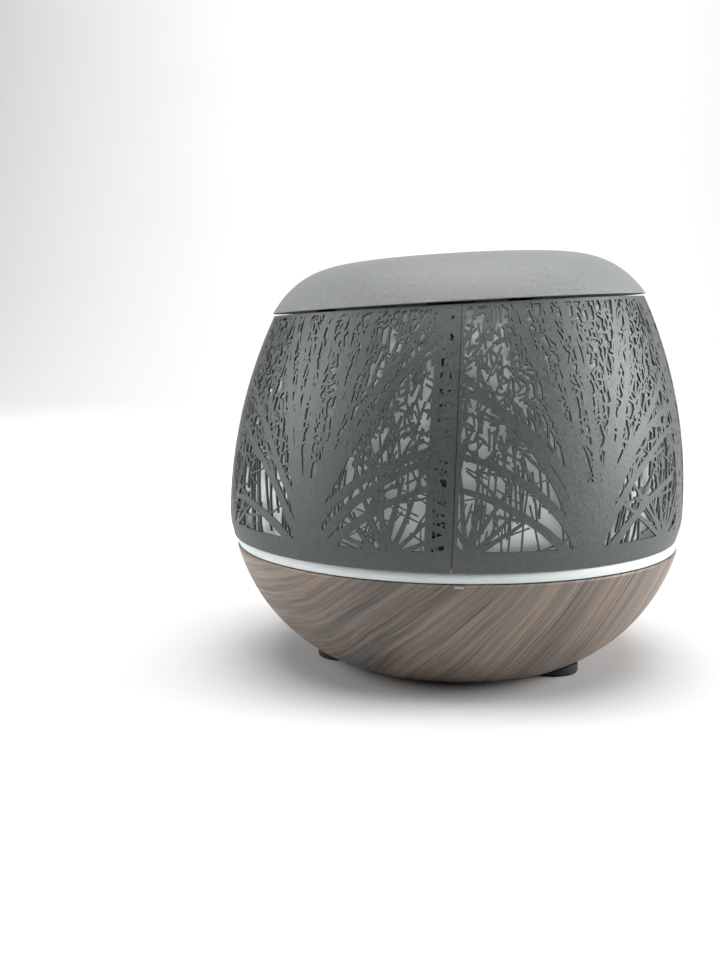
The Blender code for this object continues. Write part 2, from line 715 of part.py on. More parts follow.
def tank_curve(inset):
    """Quarter ellipse from the tank's upright wall to its flat floor."""
    across = TANK_RADIUS - TANK_FLAT_RADIUS - inset
    down = FLANGE_BOTTOM - TANK_FLOOR - inset
    angles = spread(0, math.pi / 2, 5)
    return [(TANK_FLAT_RADIUS + across * math.cos(a), FLANGE_BOTTOM - down * math.sin(a)) for a in angles]


def build_tank():
    flange = bowl_radius(FLANGE_BOTTOM, BOWL_WALL) - CLEARANCE
    inside = TANK_RADIUS - TANK_WALL
    floor_top = TANK_FLOOR + TANK_WALL
    profile = [(TANK_RADIUS, TANK_TOP), (TANK_RADIUS, FLANGE_TOP)]
    profile += [(flange, FLANGE_TOP), (flange, FLANGE_BOTTOM)]
    profile += tank_curve(0)
    sump_floor = SUMP_BOTTOM + TANK_WALL
    profile += [(SUMP_RADIUS, TANK_FLOOR), (SUMP_RADIUS, SUMP_BOTTOM), (ATOMISER_OPENING, SUMP_BOTTOM)]
    profile += [(ATOMISER_OPENING, sump_floor), (SUMP_RADIUS - TANK_WALL, sump_floor)]
    profile.append((SUMP_RADIUS, floor_top))
    profile += list(reversed(tank_curve(TANK_WALL)))
    profile.append((inside, TANK_TOP))
    tank = turned("water_tank", profile, FROSTED)

    solids = bmesh.new()
    holes = bmesh.new()
    tower = place(FAN_AZIMUTH, TOWER_RING)
    bore = TOWER_RADIUS - TOWER_WALL
    add_cylinder(solids, TOWER_RADIUS, TANK_FLOOR + TANK_WALL / 2, TOWER_TOP, tower, FINE_SEGMENTS)
    add_cylinder(holes, bore, TANK_FLOOR - THROUGH, TOWER_TOP + THROUGH, tower, FINE_SEGMENTS)
    for azimuth in FOOT_AZIMUTHS:
        at = place(azimuth, FOOT_RING)
        add_cylinder(solids, PILLAR_RADIUS, PILLAR_TOP + CLEARANCE, TANK_FLOOR + TANK_WALL / 2, at)
        add_cylinder(holes, SCREW_HOLE, PILLAR_TOP, TANK_FLOOR - 0.0005, at)
    for azimuth in (FAN_AZIMUTH - 90, FAN_AZIMUTH + 90):
        at = place(azimuth, EAR_RING)
        add_cylinder(solids, EAR_RADIUS, clamp_top() + CLEARANCE, TANK_FLOOR + TANK_WALL / 4, at)
        add_cylinder(holes, SCREW_SHANK, clamp_top(), TANK_FLOOR + TANK_WALL / 3, at)
    combine(tank, from_bmesh("tank_solids", solids), "UNION")
    combine(tank, from_bmesh("tank_holes", holes), "DIFFERENCE")


def clamp_bottom():
    return SUMP_BOTTOM - 3 * CLEARANCE - SEAL_THICKNESS - ATOMISER_THICKNESS - CLAMP_FLOOR


def clamp_top():
    """Top of the clamp's ears."""
    return clamp_bottom() + CLAMP_FLOOR


def build_atomiser():
    seal_top = SUMP_BOTTOM - CLEARANCE
    seal_bottom = seal_top - SEAL_THICKNESS
    wide = ATOMISER_RADIUS + SEAL_OVERHANG
    seal = [(wide, seal_top), (wide, seal_bottom)]
    seal += [(ATOMISER_OPENING, seal_bottom), (ATOMISER_OPENING, seal_top)]
    turned("atomiser_seal", seal, SILICONE, segments=FINE_SEGMENTS)

    disc_top = seal_bottom - CLEARANCE
    disc_bottom = disc_top - ATOMISER_THICKNESS
    step = disc_top - ATOMISER_THICKNESS / 2
    disc = [(0, disc_top), (ATOMISER_RADIUS, disc_top), (ATOMISER_RADIUS, step)]
    core = ATOMISER_OPENING - ATOMISER_THICKNESS
    disc += [(core, step), (core, disc_bottom), (0, disc_bottom)]
    turned("atomiser_disc", disc, STEEL, closed=False, segments=FINE_SEGMENTS)

    inner = wide + CLEARANCE
    outer = inner + CLAMP_WALL
    bottom = clamp_bottom()
    shelf = clamp_top()
    clamp_profile = [(outer, seal_top), (outer, bottom), (ATOMISER_OPENING, bottom)]
    clamp_profile += [(ATOMISER_OPENING, shelf), (inner, shelf), (inner, seal_top)]
    clamp = turned("atomiser_clamp", clamp_profile, WHITE_PLASTIC, segments=FINE_SEGMENTS)
    ears = bmesh.new()
    holes = bmesh.new()
    for number, azimuth in enumerate((FAN_AZIMUTH - 90, FAN_AZIMUTH + 90), 1):
        at = place(azimuth, EAR_RING)
        add_cylinder(ears, EAR_RADIUS, bottom, shelf, at)
        reach = EAR_RING - inner - CLAMP_WALL / 2
        add_box(ears, (-reach, -EAR_RADIUS * 0.8, bottom), (0, EAR_RADIUS * 0.8, shelf), at)
        add_cylinder(holes, SCREW_SHANK, bottom - THROUGH, shelf + THROUGH, at)
        head_bottom = bottom - CLEARANCE - SCREW_HEAD_HEIGHT
        shank = SCREW_SHANK - CLEARANCE
        name = f"clamp_screw_{number}"
        screw(name, head_bottom, TANK_FLOOR, STEEL, at, head=CLAMP_HEAD_RADIUS, shank=shank)
    combine(clamp, from_bmesh("clamp_ears", ears), "UNION")
    combine(clamp, from_bmesh("clamp_holes", holes), "DIFFERENCE")


def build_fan():
    at = place(FAN_AZIMUTH, FAN_RING, FAN_BOTTOM)
    half = FAN_SIZE / 2
    shape = bmesh.new()
    add_box(shape, (-half, -half, 0), (half, half, FAN_HEIGHT), at)
    upright = [edge for edge in shape.edges if edge.calc_length() < FAN_SIZE / 2]
    bmesh.ops.bevel(
        shape, geom=upright, offset=FAN_CORNER, segments=2, profile=0.5, affect="EDGES", material=-1
    )
    housing = from_bmesh("fan_housing", shape, DARK_PLASTIC)
    bore = bmesh.new()
    add_cylinder(bore, FAN_BORE, -THROUGH, FAN_HEIGHT + THROUGH, at, segments=FINE_SEGMENTS)
    spider = bmesh.new()
    add_cylinder(spider, FAN_HUB, 0, FAN_FLOOR, at)
    for turn in range(3):
        arm = at @ Matrix.Rotation(math.radians(120 * turn + 60), 4, "Z")
        low, high = (0, -SPOKE_HALF_WIDTH, 0), (FAN_BORE + FAN_RIM / 2, SPOKE_HALF_WIDTH, FAN_FLOOR)
        add_box(spider, low, high, arm)
    combine(housing, from_bmesh("fan_bore", bore), "DIFFERENCE")
    combine(housing, from_bmesh("fan_spokes", spider), "UNION")

    tall = FAN_HEIGHT - FAN_FLOOR - 2 * CLEARANCE
    rotor = cylinder("fan_rotor", FAN_HUB, 0, tall, DARK_PLASTIC, segments=FINE_SEGMENTS)
    rotor.matrix_world = at @ Matrix.Translation((0, 0, FAN_FLOOR + CLEARANCE))
    blades = bmesh.new()
    reach = FAN_BORE - FAN_RIM - 2 * CLEARANCE
    pitch = Matrix.Translation((0, 0, tall / 2)) @ Matrix.Rotation(BLADE_PITCH, 4, "X")
    for index in range(BLADE_COUNT):
        blade = Matrix.Rotation(math.tau * index / BLADE_COUNT, 4, "Z") @ pitch
        low = (FAN_HUB - JOIN, -BLADE_HALF_CHORD, -BLADE_HALF_THICKNESS)
        high = (reach, BLADE_HALF_CHORD, BLADE_HALF_THICKNESS)
        add_box(blades, low, high, blade)
    tool = from_bmesh("fan_blades", blades)
    tool.matrix_world = rotor.matrix_world
    combine(rotor, tool, "UNION")

    duct = bmesh.new()
    foot = FAN_TOP + CLEARANCE
    top = TANK_FLOOR - CLEARANCE
    narrow = TOWER_RADIUS - DUCT_WALL
    bmesh.ops.create_cone(
        duct, cap_ends=False, segments=FINE_SEGMENTS, radius1=FAN_BORE, radius2=narrow, depth=top - foot
    )
    for vert in duct.verts:
        if vert.co.z > 0:
            vert.co.x += TOWER_RING - FAN_RING
    hood = from_bmesh("air_duct", duct, WHITE_PLASTIC, smooth=True)
    hood.matrix_world = place(FAN_AZIMUTH, FAN_RING, (foot + top) / 2)
    wall = hood.modifiers.new("wall", "SOLIDIFY")
    wall.thickness = DUCT_WALL
    wall.offset = -1
    trim = bmesh.new()
    reach = FAN_BORE * 2
    add_box(trim, (-reach, -reach, foot), (reach, reach, top), place(FAN_AZIMUTH, FAN_RING))
    combine(hood, from_bmesh("duct_height", trim), "INTERSECT")


def build_main_board():
    frame = board_frame()
    half = BOARD_WIDTH / 2
    low, high = (0, -half, BOARD_BOTTOM), (BOARD_LENGTH, half, BOARD_TOP)
    board = box("main_board", low, high, CIRCUIT, frame)
    holes = bmesh.new()
    flip = Matrix.Rotation(math.pi, 4, "X")
    head_bottom = -BOARD_TOP - CLEARANCE - SCREW_HEAD_HEIGHT
    tip = -FLOOR_TOP - JOIN
    shank = SCREW_SHANK - CLEARANCE
    for number, (out, across) in enumerate(BOARD_SCREWS, 1):
        at = frame @ Matrix.Translation((out, across, 0))
        add_cylinder(holes, SCREW_SHANK, 0, BOARD_TOP + THROUGH, at)
        name = f"board_screw_{number}"
        screw(name, head_bottom, tip, STEEL, at @ flip, head=COVER_HEAD_RADIUS, shank=shank)
    combine(board, from_bmesh("main_board_holes", holes), "DIFFERENCE")

    seat = BOARD_TOP + CLEARANCE
    flange, core, tall = COIL_SIZE
    upper = tall - COIL_FLANGE
    bobbin = [(0, tall), (flange, tall), (flange, upper), (core, upper)]
    bobbin += [(core, COIL_FLANGE), (flange, COIL_FLANGE), (flange, 0), (0, 0)]
    coil = turned("boost_coil", bobbin, COPPER, closed=False, segments=FINE_SEGMENTS)
    coil.matrix_world = frame @ Matrix.Translation((*COIL_PLACE, seat))
    neck = CAN_RADIUS - CLEARANCE
    shoulder = CAN_RADIUS - 2 * CLEARANCE
    sleeve = [(0, CAN_HEIGHT), (shoulder, CAN_HEIGHT), (CAN_RADIUS, CAN_HEIGHT - 2 * CLEARANCE)]
    sleeve += [(CAN_RADIUS, CAN_CRIMP * 1.3), (neck, CAN_CRIMP), (CAN_RADIUS, CAN_CRIMP * 0.7)]
    sleeve += [(CAN_RADIUS, 0), (0, 0)]
    can = turned("capacitor", sleeve, CAN_METAL, closed=False, segments=FINE_SEGMENTS)
    can.matrix_world = frame @ Matrix.Translation((*CAN_PLACE, seat))
    long, wide, tall = TRANSISTOR_SIZE
    at = frame @ Matrix.Translation((*TRANSISTOR_PLACE, seat))
    low, high = (-long / 2, -wide / 2, 0), (long / 2, wide / 2, tall)
    box("power_transistor", low, high, DARK_PLASTIC, at, CLEARANCE)


def build_jack():
    back = JACK_FRONT - JACK_SIZE[0]
    half = JACK_SIZE[1] / 2
    jack = box("power_jack", (-half, -half, back), (half, half, JACK_FRONT), DARK_PLASTIC)
    jack.matrix_world = jack_frame()
    nose = bmesh.new()
    add_cylinder(nose, JACK_NOSE_RADIUS, JACK_FRONT - THROUGH, JACK_NOSE_END, segments=FINE_SEGMENTS)
    mouth = JACK_NOSE_END + THROUGH
    bore = [(JACK_BORE, mouth), (JACK_BORE, JACK_NOSE_END - JACK_DEPTH)]
    bore += [(JACK_PIN, JACK_NOSE_END - JACK_DEPTH), (JACK_PIN, mouth)]
    socket = turned("jack_socket", bore, segments=FINE_SEGMENTS)
    barrel = from_bmesh("jack_nose", nose)
    for tool, operation in ((barrel, "UNION"), (socket, "DIFFERENCE")):
        tool.matrix_world = jack_frame()
        combine(jack, tool, operation)


def build_lights():
    outer = bowl_radius(LIGHT_BOARD_BOTTOM, BOWL_WALL) - 2 * CLEARANCE
    inner = TANK_RADIUS + 4 * CLEARANCE
    top = LIGHT_BOARD_BOTTOM + LIGHT_BOARD_THICKNESS
    bottom = LIGHT_BOARD_BOTTOM
    turned("light_board", [(outer, top), (outer, bottom), (inner, bottom), (inner, top)], CIRCUIT)
    half = LIGHT_SIZE / 2
    for number in range(1, LIGHT_COUNT + 1):
        at = place(360 / LIGHT_COUNT * number, LIGHT_RING, top + CLEARANCE)
        box(f"light_{number}", (-half, -half, 0), (half, half, LIGHT_HEIGHT), FROSTED, at, 0.0003)


def build_buttons():
    flange_top = BUTTON_PROUD - BUTTON_BODY
    flange_bottom = flange_top - BUTTON_FLANGE_HEIGHT
    plunger_top = flange_bottom - BUTTON_TRAVEL - CLEARANCE
    body_top = plunger_top - PLUNGER_HEIGHT
    board_top = body_top - SWITCH_HEIGHT - CLEARANCE
    sides = ((-BUTTON_SPREAD, "mist_button"), (BUTTON_SPREAD, "light_button"))
    for across, name in sides:
        edge = 2 * CLEARANCE
        profile = [(0, BUTTON_PROUD), (BUTTON_RADIUS - edge, BUTTON_PROUD)]
        profile += [(BUTTON_RADIUS, BUTTON_PROUD - edge), (BUTTON_RADIUS, flange_top)]
        profile += [(BUTTON_FLANGE, flange_top), (BUTTON_FLANGE, flange_bottom), (0, flange_bottom)]
        button = turned(name, profile, DARK_PLASTIC, closed=False, segments=FINE_SEGMENTS)
        button.matrix_world = button_frame(across)
        switch = bmesh.new()
        half = SWITCH_SIZE / 2
        add_box(switch, (-half, -half, body_top - SWITCH_HEIGHT), (half, half, body_top))
        item = from_bmesh(name.replace("button", "switch"), switch, DARK_PLASTIC)
        item.matrix_world = button_frame(across)
        plunger = bmesh.new()
        add_cylinder(plunger, PLUNGER_RADIUS, body_top - 0.0005, plunger_top)
        tool = from_bmesh(name + "_plunger", plunger)
        tool.matrix_world = button_frame(across)
        combine(item, tool, "UNION")

    sink = button_frame(BUTTON_SPREAD).inverted() @ button_frame(0).translation
    board_top -= sink.z
    long, tall, thick = BUTTON_BOARD_SIZE
    low, high = (-long / 2, -tall / 2, board_top - thick), (long / 2, tall / 2, board_top)
    box("button_board", low, high, CIRCUIT, button_frame(0))
    receiver = board_top + CLEARANCE
    low, high = (-0.0025, -0.0025, receiver), (0.0025, 0.0025, receiver + 0.0035)
    box("remote_receiver", low, high, DARK_PLASTIC, button_frame(0), 0.0005)
    cylinder("receiver_window", WINDOW_RADIUS, -BOWL_WALL, 0, SMOKED, button_frame(0))


def build_leads():
    def on_board(out, across, height):
        return board_frame() @ Vector((out, across, height))

    def by_fan(out, across, height):
        return facing(FAN_AZIMUTH) @ Vector((FAN_RING + out, across, height))

    seat = BOARD_TOP + CLEARANCE + LEAD_RADIUS
    rise = seat + LEAD_RISE
    side = FAN_SIZE / 2 + CLEARANCE + LEAD_RADIUS
    fan_route = [by_fan(-0.010, -side, FAN_BOTTOM + 0.004), by_fan(-0.010, -side - 0.004, rise)]
    fan_route += [on_board(0.0010, 0.0125, rise), on_board(0.0050, 0.0130, seat)]
    lead("fan_lead", fan_route, LEAD_COVER)
    disc_foot = clamp_bottom() - 2 * CLEARANCE
    disc_route = [(0, 0, disc_foot + CLAMP_FLOOR), (0.001, -0.001, disc_foot - 0.002)]
    disc_route += [on_board(0.0010, -0.0050, rise), on_board(0.0045, -0.0060, seat)]
    lead("atomiser_lead", disc_route, LEAD_COVER)
    bearing = facing(BOARD_AZIMUTH - LIGHT_LEAD_TURN)
    light_route = [(LIGHT_RING - 0.001, LIGHT_BOARD_BOTTOM - 2 * CLEARANCE)]
    light_route += [(TANK_RADIUS + 0.003, 0.0300), (TANK_RADIUS - 0.003, 0.0225)]
    light_route += [(BOARD_INNER + 0.0370, 0.0160), (BOARD_INNER + 0.0315, 0.0125)]
    route = [bearing @ Vector((out, 0, height)) for out, height in light_route]
    route.append(on_board(0.0280, -0.0085, seat))
    lead("light_lead", route, LEAD_COVER)
    below = BUTTON_BOARD_SIZE[1] / 2 + CLEARANCE + LEAD_RADIUS
    start = button_frame(0) @ Vector((0.0080, below, -BUTTON_BODY - 0.0077))
    button_route = [start, on_board(0.0159, 0.0413, 0.0185)]
    button_route += [on_board(0.0210, 0.0288, 0.0145), on_board(0.0240, 0.0110, seat)]
    lead("button_lead", button_route, LEAD_COVER)


for old in list(bpy.data.objects):
    bpy.data.objects.remove(old)
PARTS = make_collection("essential_oil_diffuser")
TOOLS = make_collection("cutters")

CAP_PAINT = make_material("cap_paint", (0.36, 0.37, 0.37), 0.6)
SLEEVE_PAINT = make_material("sleeve_paint", (0.13, 0.14, 0.14), 0.5, 0.3)
FROSTED = make_material("frosted_plastic", (0.62, 0.64, 0.64), 0.45)
WHITE_PLASTIC = make_material("white_plastic", (0.78, 0.78, 0.76), 0.4)
WOOD = make_material("wood_grain_plastic", (0.18, 0.15, 0.13), 0.45)
DARK_PLASTIC = make_material("dark_plastic", (0.03, 0.03, 0.03), 0.5)
SMOKED = make_material("smoked_plastic", (0.02, 0.015, 0.02), 0.15)
RUBBER = make_material("rubber", (0.015, 0.015, 0.015), 0.8)
SILICONE = make_material("silicone", (0.55, 0.56, 0.56), 0.7)
STEEL = make_material("steel", (0.6, 0.6, 0.6), 0.3, 1.0)
COPPER = make_material("copper", (0.6, 0.27, 0.12), 0.35, 1.0)
CAN_METAL = make_material("can_sleeve", (0.05, 0.06, 0.09), 0.35)
CIRCUIT = make_material("circuit_board", (0.03, 0.16, 0.07), 0.45)
LEAD_COVER = make_material("lead_cover", (0.05, 0.05, 0.05), 0.5)

outlet_seat = build_cap()
build_mist_guide(outlet_seat)
build_inner_shell()
build_sleeve()
build_bowl()
build_feet()
build_bottom_cover()
build_ring_and_gasket()
build_tank()
build_atomiser()
build_fan()
build_main_board()
build_jack()
build_lights()
build_buttons()
build_leads()
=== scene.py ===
"""Looks of an essential oil diffuser, built around its packed CAD model.

Metres, +Z up, on the CAD's frame. Azimuths are in degrees from -Y towards +X. The cover's metal
sleeve is cut from flat sheet as a pattern of trees, and each sheet is then bent round the cover.
"""

import json
import math
import random

import bmesh
import bpy
from bpy.props import FloatProperty, FloatVectorProperty, IntProperty, PointerProperty
from mathutils import Matrix, Vector
from mathutils.geometry import delaunay_2d_cdt


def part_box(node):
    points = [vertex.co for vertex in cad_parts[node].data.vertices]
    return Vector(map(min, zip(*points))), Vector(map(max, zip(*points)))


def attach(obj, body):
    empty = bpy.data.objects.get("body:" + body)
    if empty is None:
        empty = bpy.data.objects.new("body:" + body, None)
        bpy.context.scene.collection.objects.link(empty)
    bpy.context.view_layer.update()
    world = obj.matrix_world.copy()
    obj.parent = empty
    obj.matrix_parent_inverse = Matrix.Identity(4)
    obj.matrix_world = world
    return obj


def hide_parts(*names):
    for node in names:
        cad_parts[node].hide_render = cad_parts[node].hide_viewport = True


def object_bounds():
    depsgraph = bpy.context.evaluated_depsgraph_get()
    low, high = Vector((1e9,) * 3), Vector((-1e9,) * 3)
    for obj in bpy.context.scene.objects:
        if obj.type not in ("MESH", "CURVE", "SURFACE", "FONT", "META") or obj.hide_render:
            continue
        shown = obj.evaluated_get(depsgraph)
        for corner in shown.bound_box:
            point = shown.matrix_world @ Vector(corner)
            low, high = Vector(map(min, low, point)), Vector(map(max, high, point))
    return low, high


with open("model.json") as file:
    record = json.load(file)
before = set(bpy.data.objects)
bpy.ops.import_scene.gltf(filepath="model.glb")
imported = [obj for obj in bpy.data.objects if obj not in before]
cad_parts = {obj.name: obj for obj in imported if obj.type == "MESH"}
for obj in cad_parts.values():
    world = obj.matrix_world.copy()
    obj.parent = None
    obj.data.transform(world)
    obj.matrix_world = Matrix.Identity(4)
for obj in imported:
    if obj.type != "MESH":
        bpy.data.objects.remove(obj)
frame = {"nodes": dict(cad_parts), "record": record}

bl_info = {
    "name": "Essential Oil Diffuser",
    "version": (1, 0, 0),
    "blender": (4, 5, 0),
    "location": "3D View > Sidebar > Diffuser",
    "description": "Detailed pieces and finishes of a diffuser with a cut metal sleeve",
    "category": "Object",
}

CAD_LOW, CAD_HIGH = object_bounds()
RING_LOW, RING_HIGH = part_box("light_ring")
BOWL_LOW, BOWL_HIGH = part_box("base_bowl")
TANK_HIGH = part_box("water_tank")[1]
COVER_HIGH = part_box("bottom_cover")[1]
CLEARANCE = 0.0003
PANEL_COUNT = 5
# How far a tree's foot stands from the middle of its sheet, on the two front sheets.
TREE_FEET = {1: -0.0069, 5: 0.0028}
TURN_STEPS = 128
FINE_STEPS = 160
EDGE_GAP = 0.0008
CAP_FLATNESS = 6
DISH_RADIUS = 0.0175
DISH_DEPTH = 0.0025
FOOT_AZIMUTHS = (57, 170, 283)
FOOT_RING = 0.0405
BUTTON_HEIGHT = 0.0210
BUTTON_ACROSS = 0.0110
BUTTON_RADIUS = 0.0048


def length(name, value, description):
    """A size in metres for the sidebar."""
    return FloatProperty(
        name=name, description=description, default=value, min=0.0, unit="LENGTH", precision=5
    )


def slope(name, degrees, description):
    """An angle for the sidebar."""
    value = math.radians(degrees)
    return FloatProperty(name=name, description=description, default=value, subtype="ANGLE")


def paint(name, value, description):
    """A colour for the sidebar."""
    return FloatVectorProperty(
        name=name, description=description, default=value, size=3, min=0, max=1, subtype="COLOR"
    )


class DIFFUSER_PG_form(bpy.types.PropertyGroup):
    """Outer form of the cover and the bowl."""

    radius: length("Radius", CAD_HIGH.y, "Radius of the sleeve where it is widest")
    widest: length("Widest Height", 0.0540, "Height at which the sleeve is widest")
    arc: length("Sleeve Arc", 0.1627, "Radius of the sleeve's side curve above the widest height")
    tuck: length("Tuck Arc", 0.0270, "Radius of the side curve below the widest height")
    lean: FloatProperty(name="Lean", description="Sideways lean per metre of height", default=0.030)
    lean_start: length("Lean Start", 0.0700, "Height at which the lean is zero")
    top: length("Top", 0.1241, "Height of the cover's slanted edge on the axis")
    slant: slope("Slant", 3.1, "Slant of the cover's edge")
    cap_lip: length("Cap Lip", 0.0011, "How far the cap stands out over the sleeve")
    cap_rise: length("Cap Rise", 0.0162, "Height of the cap's dome above its edge")
    cap_wall: length("Cap Wall", 0.0024, "Wall of the cap")
    bowl_arc: length("Bowl Arc", 0.06165, "Radius of the bowl's side curve")
    bowl_arc_height: length("Bowl Arc Height", 0.0572, "Height of the centre of the bowl's curve")
    bowl_wall: length("Bowl Wall", 0.0022, "Wall of the bowl")
    sheet: length("Sheet", 0.0008, "Thickness of the sleeve's sheet metal")
    shell_gap: length("Shell Gap", 0.0030, "Gap between the sleeve and the inner shell")
    shell_wall: length("Shell Wall", 0.0018, "Wall of the inner shell")


class DIFFUSER_PG_lattice(bpy.types.PropertyGroup):
    """The tree pattern cut in each sheet of the sleeve."""

    band: length("Bottom Band", 0.0064, "Height of the plain band along the bottom")
    rim: length("Top Band", 0.0005, "Half height of the plain band along the top")
    hem: length("Hem", 0.0024, "Width of the plain strips beside a seam")
    seam: length("Seam", 0.0002, "Gap between the edges of two sheets")
    trunk: length("Trunk", 0.0118, "Width of a tree's trunk at its foot")
    fork: length("Fork Height", 0.0260, "Height above the sheet's bottom at which the trunk forks")
    bough: length("Bough", 0.0044, "Width of the large boughs where they leave the trunk")
    twig: length("Twig", 0.00038, "Width of the thin twigs low in the windows")
    web: length("Web", 0.00078, "Width of the webs in the dense upper part")
    twig_length: length("Twig Length", 0.0230, "Length of the low twigs")
    web_length: length("Web Length", 0.0056, "Length of the webs in the upper part")
    cell: length("Cell", 0.00175, "Spacing at which twigs are sown")
    bend_step: length("Bend Step", 0.0040, "Spacing of the rows at which the sheet bends")
    seed: IntProperty(name="Seed", description="Start of the pattern's chance values", default=11)


class DIFFUSER_PG_finish(bpy.types.PropertyGroup):
    """Colours of the visible finishes."""

    cap: paint("Cap Paint", (0.176, 0.186, 0.183), "Sand-textured paint of the cap")
    sleeve: paint("Sleeve Paint", (0.078, 0.086, 0.085), "Powder coat of the sleeve")
    frosted: paint("Frosted Plastic", (0.68, 0.73, 0.73), "Translucent plastic of the ring and shell")
    wood_light: paint("Light Grain", (0.262, 0.201, 0.155), "Light streaks of the wood print")
    wood_dark: paint("Dark Grain", (0.070, 0.062, 0.056), "Dark streaks of the wood print")


class DIFFUSER_PG_stage(bpy.types.PropertyGroup):
    """Camera and lights."""

    distance: length("Distance", 0.415, "From the camera to the object's axis")
    height: length("Height", 0.118, "Height of the camera")
    lens: FloatProperty(name="Lens", description="Focal length in millimetres", default=43.95)
    turn: slope("Turn", 4.67, "Turn to the left")
    tip: slope("Tip", 7.68, "Tilt downwards")


def form():
    return bpy.context.scene.diffuser_form


def pattern():
    return bpy.context.scene.diffuser_lattice


def sleeve_radius(height):
    """Outside radius of the sleeve at a height."""
    size = form()
    arc = size.arc if height >= size.widest else size.tuck
    return size.radius - arc + math.sqrt(arc ** 2 - (height - size.widest) ** 2)


def bowl_radius(height, inset=0.0):
    """Radius of the bowl at a height, inset along its wall."""
    size = form()
    rise = size.bowl_arc_height
    centre = BOWL_HIGH.x - math.sqrt(size.bowl_arc ** 2 - (rise - BOWL_HIGH.z) ** 2)
    return centre + math.sqrt((size.bowl_arc - inset) ** 2 - (rise - height) ** 2)


def leaned(point):
    """A point of the cover's rings, moved towards +X with its height."""
    size = form()
    return Vector((point.x + size.lean * (point.z - size.lean_start), point.y, point.z))


def top_frame(offset=0.0):
    """The slanted plane that the cover ends in, moved along its normal."""
    slant = Matrix.Rotation(-form().slant, 4, "Y")
    return Matrix.Translation((0, 0, form().top)) @ slant @ Matrix.Translation((0, 0, offset))


def facing(azimuth):
    """Turn about Z that points local +X along an azimuth."""
    return Matrix.Rotation(math.radians(azimuth - 90), 4, "Z")


def spread(first, last, count):
    return [first + (last - first) * step / (count - 1) for step in range(count)]


def spun(profile, steps=TURN_STEPS, closed=True):
    """A profile of (radius, height) points spun about Z. Closed joins its last point to its first."""
    shape = bmesh.new()
    verts = [shape.verts.new((radius, 0, height)) for radius, height in profile]
    edges = [shape.edges.new(pair) for pair in zip(verts, verts[1:])]
    if closed:
        edges.append(shape.edges.new((verts[-1], verts[0])))
    bmesh.ops.spin(
        shape, geom=verts + edges, cent=(0, 0, 0), axis=(0, 0, 1), angle=math.tau, steps=steps,
        use_merge=True,
    )
    bmesh.ops.remove_doubles(shape, verts=shape.verts, dist=0.000001)
    bmesh.ops.recalc_face_normals(shape, faces=shape.faces)
    return shape


def rounded(shape, width, angle=30.0, segments=3):
    """Bevel every edge sharper than an angle."""
    limit = math.radians(angle)
    sharp = [edge for edge in shape.edges if len(edge.link_faces) == 2 and edge.calc_face_angle() > limit]
    bmesh.ops.bevel(
        shape, geom=sharp, offset=width, offset_type="OFFSET", segments=segments, profile=0.5,
        affect="EDGES", clamp_overlap=True, material=-1,
    )
    return shape


def add_rod(shape, radius, bottom, top, at, segments=32):
    """An upright cylinder in a frame."""
    bmesh.ops.create_cone(
        shape, cap_ends=True, segments=segments, radius1=radius, radius2=radius, depth=top - bottom,
        matrix=at @ Matrix.Translation((0, 0, (bottom + top) / 2)),
    )


def cut_away(item, shape, operation="DIFFERENCE"):
    """Apply a Boolean with a tool shape to an object's mesh."""
    mesh = bpy.data.meshes.new("tool")
    shape.to_mesh(mesh)
    shape.free()
    tool = bpy.data.objects.new("tool", mesh)
    bpy.context.scene.collection.objects.link(tool)
    cut = item.modifiers.new("cut", "BOOLEAN")
    cut.operation = operation
    cut.solver = "EXACT"
    cut.use_self = True
    cut.object = tool
    apply_modifiers(item)
    bpy.data.objects.remove(tool)


def apply_modifiers(item):
    bpy.context.view_layer.update()
    finished = item.evaluated_get(bpy.context.evaluated_depsgraph_get())
    mesh = bpy.data.meshes.new_from_object(finished)
    item.modifiers.clear()
    item.data = mesh


def make_piece(name, shape, matrix=None):
    """Put a shape in the scene, with its place in its mesh."""
    mesh = bpy.data.meshes.new(name)
    if matrix is not None:
        bmesh.ops.transform(shape, matrix=matrix, verts=shape.verts)
    shape.to_mesh(mesh)
    shape.free()
    item = bpy.data.objects.new(name, mesh)
    bpy.context.scene.collection.objects.link(item)
    return item


def fit_piece(item, body, slot, *nodes, finish=None, angle=35.0):
    """Shade a piece, give it its slot's finish or another one, and fix it to the CAD."""
    item.data.materials.clear()
    item.data.materials.append(finish_of(finish or slot))
    item.data.shade_smooth()
    item.data.set_sharp_from_angle(angle=math.radians(angle))
    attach(item, body)
    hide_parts(*nodes)
    return item


# Finishes


def make_group(name, inputs, outputs):
    """A shader node group with named sockets, and its input and output nodes."""
    group = bpy.data.node_groups.new(name, "ShaderNodeTree")
    for socket, kind, value in inputs:
        made = group.interface.new_socket(name=socket, in_out="INPUT", socket_type=kind)
        if value is not None:
            made.default_value = value
    for socket, kind in outputs:
        group.interface.new_socket(name=socket, in_out="OUTPUT", socket_type=kind)
    return group, group.nodes.new("NodeGroupInput"), group.nodes.new("NodeGroupOutput")


def feed(tree, node, values):
    """Give a node's inputs a number, a colour or the output of another node."""
    for key, value in values.items():
        socket = node.inputs[key]
        if isinstance(value, bpy.types.NodeSocket):
            tree.links.new(value, socket)
        else:
            socket.default_value = value


def noise(tree, vector, scale, detail=3.0, roughness=0.5):
    node = tree.nodes.new("ShaderNodeTexNoise")
    feed(tree, node, {"Vector": vector, "Scale": scale, "Detail": detail, "Roughness": roughness})
    return node.outputs["Fac"]


def math_node(tree, operation, first, second=0.0, third=0.0):
    node = tree.nodes.new("ShaderNodeMath")
    node.operation = operation
    feed(tree, node, {0: first, 1: second, 2: third})
    return node.outputs["Value"]


